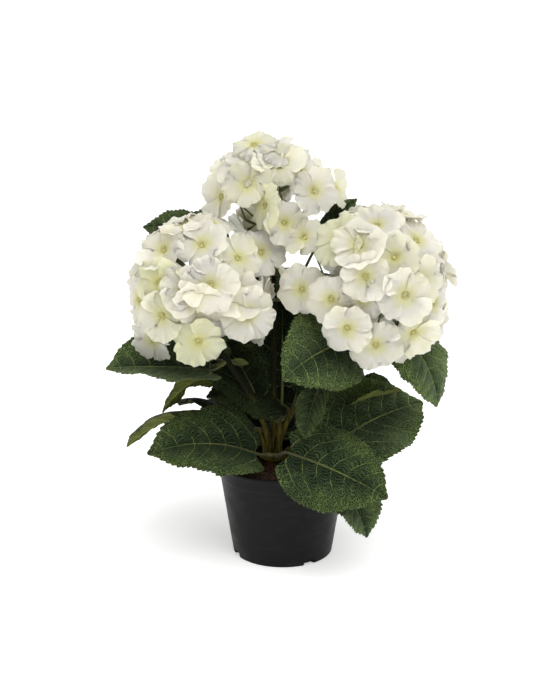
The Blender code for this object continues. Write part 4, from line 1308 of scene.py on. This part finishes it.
# A petal's ruffles: the power of s that each grows with, its least and greatest height as shares of the petal's
# length, and its least and greatest number of waves on each half of the width
RUFFLES = ((3, 0.02, 0.10, 0.5, 1.0), (4, 0.02, 0.06, 1.2, 1.9), (6, 0.02, 0.05, 2.4, 3.4))


def petal_part(hearts, facings, radii, tints, roundness, settings, rng):
    """All petals of a head, as thin closed shells.

    A petal is a grid over s, from the throat to its edge, and v, from side to side. A point lies at the angle
    a = middle + v W(s) and the distance r = r0 + (R(v) - r0) s from the floret's heart, where
      W(s) opens from 46 degrees at the throat to 48 to 60 at the edge, by 1 - (1-s)^2, so neighbours overlap,
      R(v) = R (1.03 - c |v|^3 - n exp(-(v / 0.20)^2) + scallops) is the petal's outline, rounded by c from 0.18
      to 0.34 and notched by n up to 0.07.
    Its height over the floret's plane is the sum of a funnel -3.4 mm exp(-(r / 3.2 mm)^2), a cup or droop c r^2,
    a curl of the edge s^5, a twist v s that lays one side over the neighbour, the ruffles s^power sin(waves v),
    a fold (1 - |v|) sin(pi s) along the middle, and the fall of the head's own roundness -0.45 r^2 / (2 roundness).
    """
    count = len(hearts) * 4
    own = np.repeat(np.arange(len(hearts)), 4)
    s = np.linspace(0.0, 1.0, PETAL_ROWS)[None, :, None]
    v = np.linspace(-1.0, 1.0, PETAL_COLUMNS)[None, None, :]

    def draw(low, high, each=count):
        return rng.uniform(low, high, each)[:, None, None]

    def of_floret(low, high):
        return draw(low, high, len(hearts))[own]

    def waving(waves):
        return np.sin(TURN * waves * v + draw(0, TURN))

    spin = of_floret(0.0, 90.0)
    middle = np.radians(np.tile(np.arange(4) * 90.0, len(hearts))[:, None, None] + spin + draw(-5, 5))
    reach = radii[own][:, None, None] * draw(0.93, 1.05)
    opening = np.radians(THROAT_OPENING + (draw(48, 60) - THROAT_OPENING) * (1 - (1 - s)**2))
    outline = 1.03 - draw(0.18, 0.34) * np.abs(v)**3 - draw(0.0, 0.07) * np.exp(-(v / 0.20)**2)
    for waves, depth in SCALLOPS:
        outline = outline + depth * waving(waves)
    r = THROAT_RADIUS + (reach * outline - THROAT_RADIUS) * s
    angle = middle + opening * v * (1 + 0.05 * np.sin(TURN * s + draw(0, TURN)))
    height = (-3.4 * MM * np.exp(-(r / (3.2 * MM))**2)
              + reach * (of_floret(0.02, 0.30) + draw(-0.14, 0.14)) * (r / reach)**2
              - reach * draw(-0.08, 0.24) * s**5
              + reach * of_floret(0.04, 0.08) * v * s)
    for power, lowest, highest, fewest, most in RUFFLES:
        height = height + reach * draw(lowest, highest) * s**power * waving(draw(fewest, most))
    fold = draw(-0.02, 0.05) * (1 - np.abs(v)) * np.sin(math.pi * s)
    height = height - reach * fold - 0.45 * r**2 / (2 * roundness)
    across, beside = floret_axes(facings)

    def spread(vectors):
        return vectors[own][:, None, None, :]

    flat = np.cos(angle)[..., None] * spread(across) + np.sin(angle)[..., None] * spread(beside)
    top = spread(hearts) + r[..., None] * flat + height[..., None] * spread(facings)
    bottom = top - settings.thickness * spread(facings)
    faces, place, side = shell_pattern(PETAL_ROWS, PETAL_COLUMNS)
    points = np.concatenate([top.reshape(count, -1, 3), bottom.reshape(count, -1, 3)], axis=1)
    kinds = np.where(side[None] == 1, len(TINTS), np.array([TINTS.index(tint) for tint in tints])[own][:, None])
    petal = woven(s[0], v[0]).reshape(-1, 2)[faces % (PETAL_ROWS * PETAL_COLUMNS)]
    atlas = woven(0.02 + 0.25 * kinds, 0.02)[:, :, None] + place[None] * 0.21
    return Part(points.reshape(-1, 3), repeat_faces(faces, count, points.shape[1]), kinds.ravel(),
                {"petal": np.tile(petal, (count, 1, 1)), "OFBake": atlas.reshape(-1, 4, 2)})


# A button in a floret's throat and a bead on its thread: heights and radii from the root to the top
BUTTON_HEIGHTS = np.array([-3.2, -2.6, -1.9, -1.45, -1.3]) * MM
BUTTON_RADII = np.array([1.2, 1.7, 1.5, 0.9, 0.25]) * MM
BEAD_HEIGHTS = np.array([-2.0, -0.45, -0.2, 0.25, 0.5]) * MM
BEAD_RADII = np.array([0.2, 0.25, 0.62, 0.60, 0.15]) * MM
BEAD_COUNT = 7


def heart_parts(hearts, facings, rng):
    """The hearts: a small button deep in each throat, and beads in a ring round it, on short threads."""
    across, beside = floret_axes(facings)
    button = hearts[:, None] + BUTTON_HEIGHTS[None, :, None] * facings[:, None]
    turn = turns(BEAD_COUNT)[None] + rng.uniform(0, TURN, (len(hearts), 1))
    ring = rng.uniform(1.9, 2.6, (len(hearts), BEAD_COUNT)) * MM
    out = (np.cos(turn)[..., None] * across[:, None] + np.sin(turn)[..., None] * beside[:, None])
    level = rng.uniform(-1.3, -0.3, (len(hearts), BEAD_COUNT)) * MM
    spots = hearts[:, None] + out * ring[..., None] + facings[:, None] * level[..., None]
    stand = unit(facings[:, None] + out * 0.4)
    bead = spots.reshape(-1, 1, 3) + BEAD_HEIGHTS[None, :, None] * stand.reshape(-1, 1, 3)
    return [tubes(button, BUTTON_RADII, 8), tubes(bead, BEAD_RADII, 6)]


def head_branches(stem):
    """The ends of a head's main branches: one straight up and the others in a ring round it."""
    ends = [direction(0, 90)]
    ends += [direction(stem.seed + number * 360.0 / BRANCH_COUNT, 12) for number in range(BRANCH_COUNT)]
    centre, hub = head_centre(stem), head_hub(stem)
    dome = centre + np.array(ends) * stem.radius * MM
    return hub + (dome - hub) * BRANCH_REACH


# Radii of a main branch at its start and end, and of a floret's stalk from its root to the cup at its top
BRANCH_RADII = (1.6 * MM, 1.25 * MM)
PEDICEL_RADII = np.array([1.15, 0.95, 0.9, 0.88, 0.86, 0.85, 0.84, 0.84, 0.86, 0.95, 1.35, 1.75]) * MM


def stalk_parts(stem, hearts, facings):
    """A head's stem, main branches and floret stalks, each ending in a small green cup under its floret."""
    path = part_of(stem_curve(stem), WHORL_END, 1.0, 24)
    path = np.vstack([path, head_hub(stem) + (0, 0, 1.2 * MM), head_hub(stem) + (0, 0, 2.2 * MM)])
    parts = [sleeve_part(path, HEAD_SLEEVE)]
    ends, hub = head_branches(stem), head_hub(stem)
    lift = np.array([0, 0, 0.18 * stem.radius * MM])
    branches = bezier(np.broadcast_to(hub, ends.shape), hub + lift + 0 * ends, ends - (ends - hub) * 0.4, ends, 9)
    parts.append(tubes(branches, np.linspace(*BRANCH_RADII, 9), 8, 1))
    gaps = np.linalg.norm(hearts[:, None] - ends[None], axis=-1)
    origin = ends[np.argmin(gaps, axis=1)]
    root = hearts - facings * 3.2 * MM
    reach = np.linalg.norm(root - origin, axis=-1, keepdims=True)
    bend = root - facings * reach * 0.4
    stalks = bezier(origin, origin + (bend - origin) * 0.25, bend, root, len(PEDICEL_RADII))
    parts.append(tubes(stalks, PEDICEL_RADII, 8, 1))
    return parts


def make_head(stem, materials, settings):
    """A flower head: its petals, which stand for the solid, its hearts, and its stem with the floret stalks.

    The listed florets look along their own bearings. The others look outwards and a little up, by chance to one
    side, and only those are kept that crowd no other head, hide no opening and lie near the head's own solid.
    """
    rng = np.random.default_rng(HEAD_SEED + stem.seed)
    name = f"flower_head_{stem.side}"
    front = [Floret(*row) for row in stem.facing]
    places, radii, tints = dome_florets(stem, front, settings, rng)
    listed = np.arange(len(places)) < len(front)
    lifts = (dome_layers(places) + rng.uniform(-0.4, 0.4, len(places))) * settings.layer - stem.sunk * MM
    lifts[listed] = [floret.lift * MM for floret in front]
    hearts = head_centre(stem) + places * (stem.radius * MM - HEART_DEPTH + lifts)[:, None]
    chance = rng.normal(size=places.shape)
    facings = unit(places + UPWARD_LOOK * direction(0.0, 90.0) + chance * OTHER_CHANCE)
    looks = direction(np.array([floret.look for floret in front]), np.array([floret.tilt for floret in front]))
    facings[listed] = unit(looks + chance[listed] * LISTED_CHANCE)
    kept = (within_space(hearts, stem, np.where(listed, LISTED_MARGIN, OTHER_MARGIN)) & (radii > 0)
            & (listed | (places @ direction(*FRONT) < FRONT_SHARE) & clear_of_openings(hearts, radii))
            & beside_solid(hearts, name, np.where(listed, LISTED_NEARNESS, OTHER_NEARNESS + stem.sunk * MM)))
    hearts, facings, radii = hearts[kept], facings[kept], radii[kept]
    tints = [tint for tint, keep in zip(tints, kept) if keep]
    petals = petal_part(hearts, facings, radii, tints, stem.radius * MM, settings, rng)
    settle(make_piece(f"{name}_petals", [petals], materials["petals"], crease=62.0), "petals", name)
    settle(make_piece(f"{name}_hearts", heart_parts(hearts, facings, rng), [materials["heart"]]), "petals")
    settle(make_piece(f"{name}_stalks", stalk_parts(stem, hearts, facings), materials["stalks"]), "stems")


# Operators ----------

class HYDRANGEA_OT_pot(bpy.types.Operator):
    """Make the black plastic pot"""
    bl_idname = "hydrangea.pot"
    bl_label = "Pot"

    def execute(self, context):
        settings = context.scene.hydrangea_pot
        piece = make_piece("nursery_pot", [pot_part(settings)], [pot_plastic(settings)], crease=35.0)
        settle(piece, "pot_plastic", "pot")
        return {"FINISHED"}


class HYDRANGEA_OT_filling(bpy.types.Operator):
    """Make the filling in the pot, with loose fibres on it"""
    bl_idname = "hydrangea.filling"
    bl_label = "Filling"

    def execute(self, context):
        settings, pot = context.scene.hydrangea_filling, context.scene.hydrangea_pot
        plug = make_piece("filling_plug", [filling_part(settings, pot)], [filling_crumbs(settings)], crease=75.0)
        settle(plug, "filling", "soil")
        tones = [fibre("fibre_dark", (0.028, 0.013, 0.008)), fibre("fibre_brown", (0.085, 0.038, 0.020)),
                 fibre("fibre_tan", (0.170, 0.100, 0.050))]
        settle(make_piece("filling_fibres", fibre_parts(settings, pot), tones), "filling")
        return {"FINISHED"}


class HYDRANGEA_OT_trunk(bpy.types.Operator):
    """Make the furrowed trunk and the collar that the stems stand on"""
    bl_idname = "hydrangea.trunk"
    bl_label = "Trunk and collar"

    def execute(self, context):
        settings = context.scene.hydrangea_stems
        settle(make_piece("trunk_bark", [trunk_part()], [trunk_bark(settings)]), "trunk", "trunk")
        settle(make_piece("stem_collar", [collar_part()], [stem_sleeve(settings)]), "stems", "collar")
        return {"FINISHED"}


class HYDRANGEA_OT_boughs(bpy.types.Operator):
    """Make the three sleeved boughs"""
    bl_idname = "hydrangea.boughs"
    bl_label = "Boughs"

    def execute(self, context):
        material = stem_sleeve(context.scene.hydrangea_stems)
        for stem in STEMS:
            path = part_of(stem_curve(stem), 0.0, WHORL_START, 70)
            sleeve = make_piece(f"bough_{stem.side}_sleeve", [sleeve_part(path, BOUGH_SLEEVE)], [material])
            settle(sleeve, "stems", f"bough_{stem.side}")
        return {"FINISHED"}


class HYDRANGEA_OT_leaves(bpy.types.Operator):
    """Make the low sprays and the whorls of leaves"""
    bl_idname = "hydrangea.leaves"
    bl_label = "Leaves"

    def execute(self, context):
        settings, stems = context.scene.hydrangea_leaves, context.scene.hydrangea_stems
        uppers = [leaf_upper(f"leaf_{dye}", settings, *looks) for dye, *looks in zip(PAINTED_LIGHTS, PAINTED_LIGHT_GAINS, LEAF_SHEENS)]
        materials = {"blades": uppers + [leaf_under(settings)],
                     "twigs": [stem_sleeve(stems), green_stalk("leaf_stalk", stems.stalk)]}
        for number, spray in enumerate(SPRAYS):
            path, axis = spray_stem(spray)
            stem, joint = sleeve_part(path, SPRAY_SLEEVE), np.array(spray.joint) * MM
            make_foliage(spray.name, spray, stem, joint, axis, materials, settings, SPRAY_SEED + number)
        for number, flowering in enumerate(STEMS):
            path = part_of(stem_curve(flowering), WHORL_START, WHORL_END, 21)
            stem = sleeve_part(path, WHORL_SLEEVE)
            name, joint, axis = f"leaves_{flowering.side}", path[10], unit(path[14] - path[6])
            make_foliage(name, flowering, stem, joint, axis, materials, settings, WHORL_SEED + number)
        return {"FINISHED"}


class HYDRANGEA_OT_heads(bpy.types.Operator):
    """Make the three flower heads"""
    bl_idname = "hydrangea.heads"
    bl_label = "Flower heads"

    def execute(self, context):
        settings, stems = context.scene.hydrangea_florets, context.scene.hydrangea_stems
        throat = tuple(settings.throat)
        # Each cloth's second colour is painted shade along the pleats' folds and the colour of its cream patches
        petals = [
            petal_cloth("petal_white", tuple(settings.white), (0.83, 0.782, 0.530), throat),
            petal_cloth("petal_ivory", tuple(settings.ivory), (0.80, 0.762, 0.460), throat),
            petal_cloth("petal_green", tuple(settings.green), (0.71, 0.715, 0.375), throat),
            petal_cloth("petal_back", tuple(settings.back), (0.77, 0.745, 0.550)),
        ]
        materials = {"petals": petals, "heart": heart_beads(settings),
                     "stalks": [stem_sleeve(stems), green_stalk("floret_stalk", stems.pedicel)]}
        for stem in STEMS:
            make_head(stem, materials, settings)
        return {"FINISHED"}


def put(name, data, place, turn):
    """A new object of the given data, at a place in metres and turned about the axes, in degrees."""
    thing = bpy.data.objects.new(name, data)
    thing.location, thing.rotation_euler = place, [math.radians(angle) for angle in turn]
    bpy.context.scene.collection.objects.link(thing)
    return thing


def add_sun(name, bearing, elevation, spread, strength):
    """A broad soft light that comes from a bearing and an elevation, as wide as `spread` degrees."""
    data = bpy.data.lights.new(name, "SUN")
    data.angle, data.energy = math.radians(spread), strength
    put(name, data, direction(bearing, elevation) * 3, (90 - elevation, 0, bearing + 90))


def light_world(tree, settings):
    """A plain studio surround: white at the horizon, dim above it and bright again overhead."""
    nodes = Nodes(tree)
    height = nodes.axis(nodes.node("ShaderNodeTexCoord", "Generated"), "Z")
    strength = (nodes.ramp(height, 0.03, 0.13, 1.0 - settings.low_sky, 0.0)
                + nodes.ramp(height, 0.25, 0.95, settings.low_sky, settings.sky))
    nodes.feed_named(tree.nodes["Background"], Color=(1.0, 1.0, 1.0), Strength=strength)


class HYDRANGEA_OT_stage(bpy.types.Operator):
    """Set the pale floor, the soft lights and the camera"""
    bl_idname = "hydrangea.stage"
    bl_label = "Stage"

    def execute(self, context):
        settings, scene = context.scene.hydrangea_studio, context.scene
        rings = np.array([0.05, 0.5, 2.0, settings.floor_radius])[:, None]
        points = round_axis(rings, turns(FLOOR_SIDES), 0.0)
        faces = np.vstack([grid_quads(len(rings), FLOOR_SIDES, ring=True), fan_quads(FLOOR_SIDES)])
        floor_paint = Recipe("floor_paint", 0.9, specular=0.1, Base_Color=settings.floor,
                             Emission_Color=(1.0, 1.0, 1.0), Emission_Strength=settings.floor_glow)
        floor = make_piece("floor", [plain_part(points, faces)], [floor_paint.material])
        world = bpy.data.worlds.new("studio")
        world.use_nodes = True
        light_world(world.node_tree, settings)
        scene.world = world
        add_sun("key_light", bearing=-60.0, elevation=62.0, spread=60.0, strength=settings.key)
        camera_data = bpy.data.cameras.new("camera")
        camera_data.lens, camera_data.sensor_width, camera_data.sensor_fit = settings.lens, 36.0, "AUTO"
        scene.camera = put("camera", camera_data, EYE, (CAMERA_TILT, 0, 0))
        scene.view_settings.view_transform = "Standard"
        return {"FINISHED"}


class HYDRANGEA_PT_pieces(bpy.types.Panel):
    """Lists the operators in the sidebar"""
    bl_idname = "HYDRANGEA_PT_pieces"
    bl_label = "Hydrangea"
    bl_space_type = "VIEW_3D"
    bl_region_type = "UI"
    bl_category = "Hydrangea"

    def draw(self, context):
        for operator in OPERATORS:
            self.layout.operator(operator.bl_idname)


SETTINGS = {
    "hydrangea_pot": PotSettings,
    "hydrangea_filling": FillingSettings,
    "hydrangea_stems": StemSettings,
    "hydrangea_leaves": LeafSettings,
    "hydrangea_florets": FloretSettings,
    "hydrangea_studio": StudioSettings,
}
OPERATORS = (
    HYDRANGEA_OT_pot,
    HYDRANGEA_OT_filling,
    HYDRANGEA_OT_trunk,
    HYDRANGEA_OT_boughs,
    HYDRANGEA_OT_leaves,
    HYDRANGEA_OT_heads,
    HYDRANGEA_OT_stage,
)


def register():
    for group in (*SETTINGS.values(), *OPERATORS, HYDRANGEA_PT_pieces):
        bpy.utils.register_class(group)
    for name, group in SETTINGS.items():
        setattr(bpy.types.Scene, name, PointerProperty(type=group))


def unregister():
    for name in SETTINGS:
        delattr(bpy.types.Scene, name)
    for group in (HYDRANGEA_PT_pieces, *reversed(OPERATORS), *reversed(tuple(SETTINGS.values()))):
        bpy.utils.unregister_class(group)


def main():
    register()
    bpy.ops.hydrangea.pot()
    bpy.ops.hydrangea.filling()
    bpy.ops.hydrangea.trunk()
    bpy.ops.hydrangea.boughs()
    bpy.ops.hydrangea.leaves()
    bpy.ops.hydrangea.heads()
    bpy.ops.hydrangea.stage()


if __name__ == "__main__":
    main()
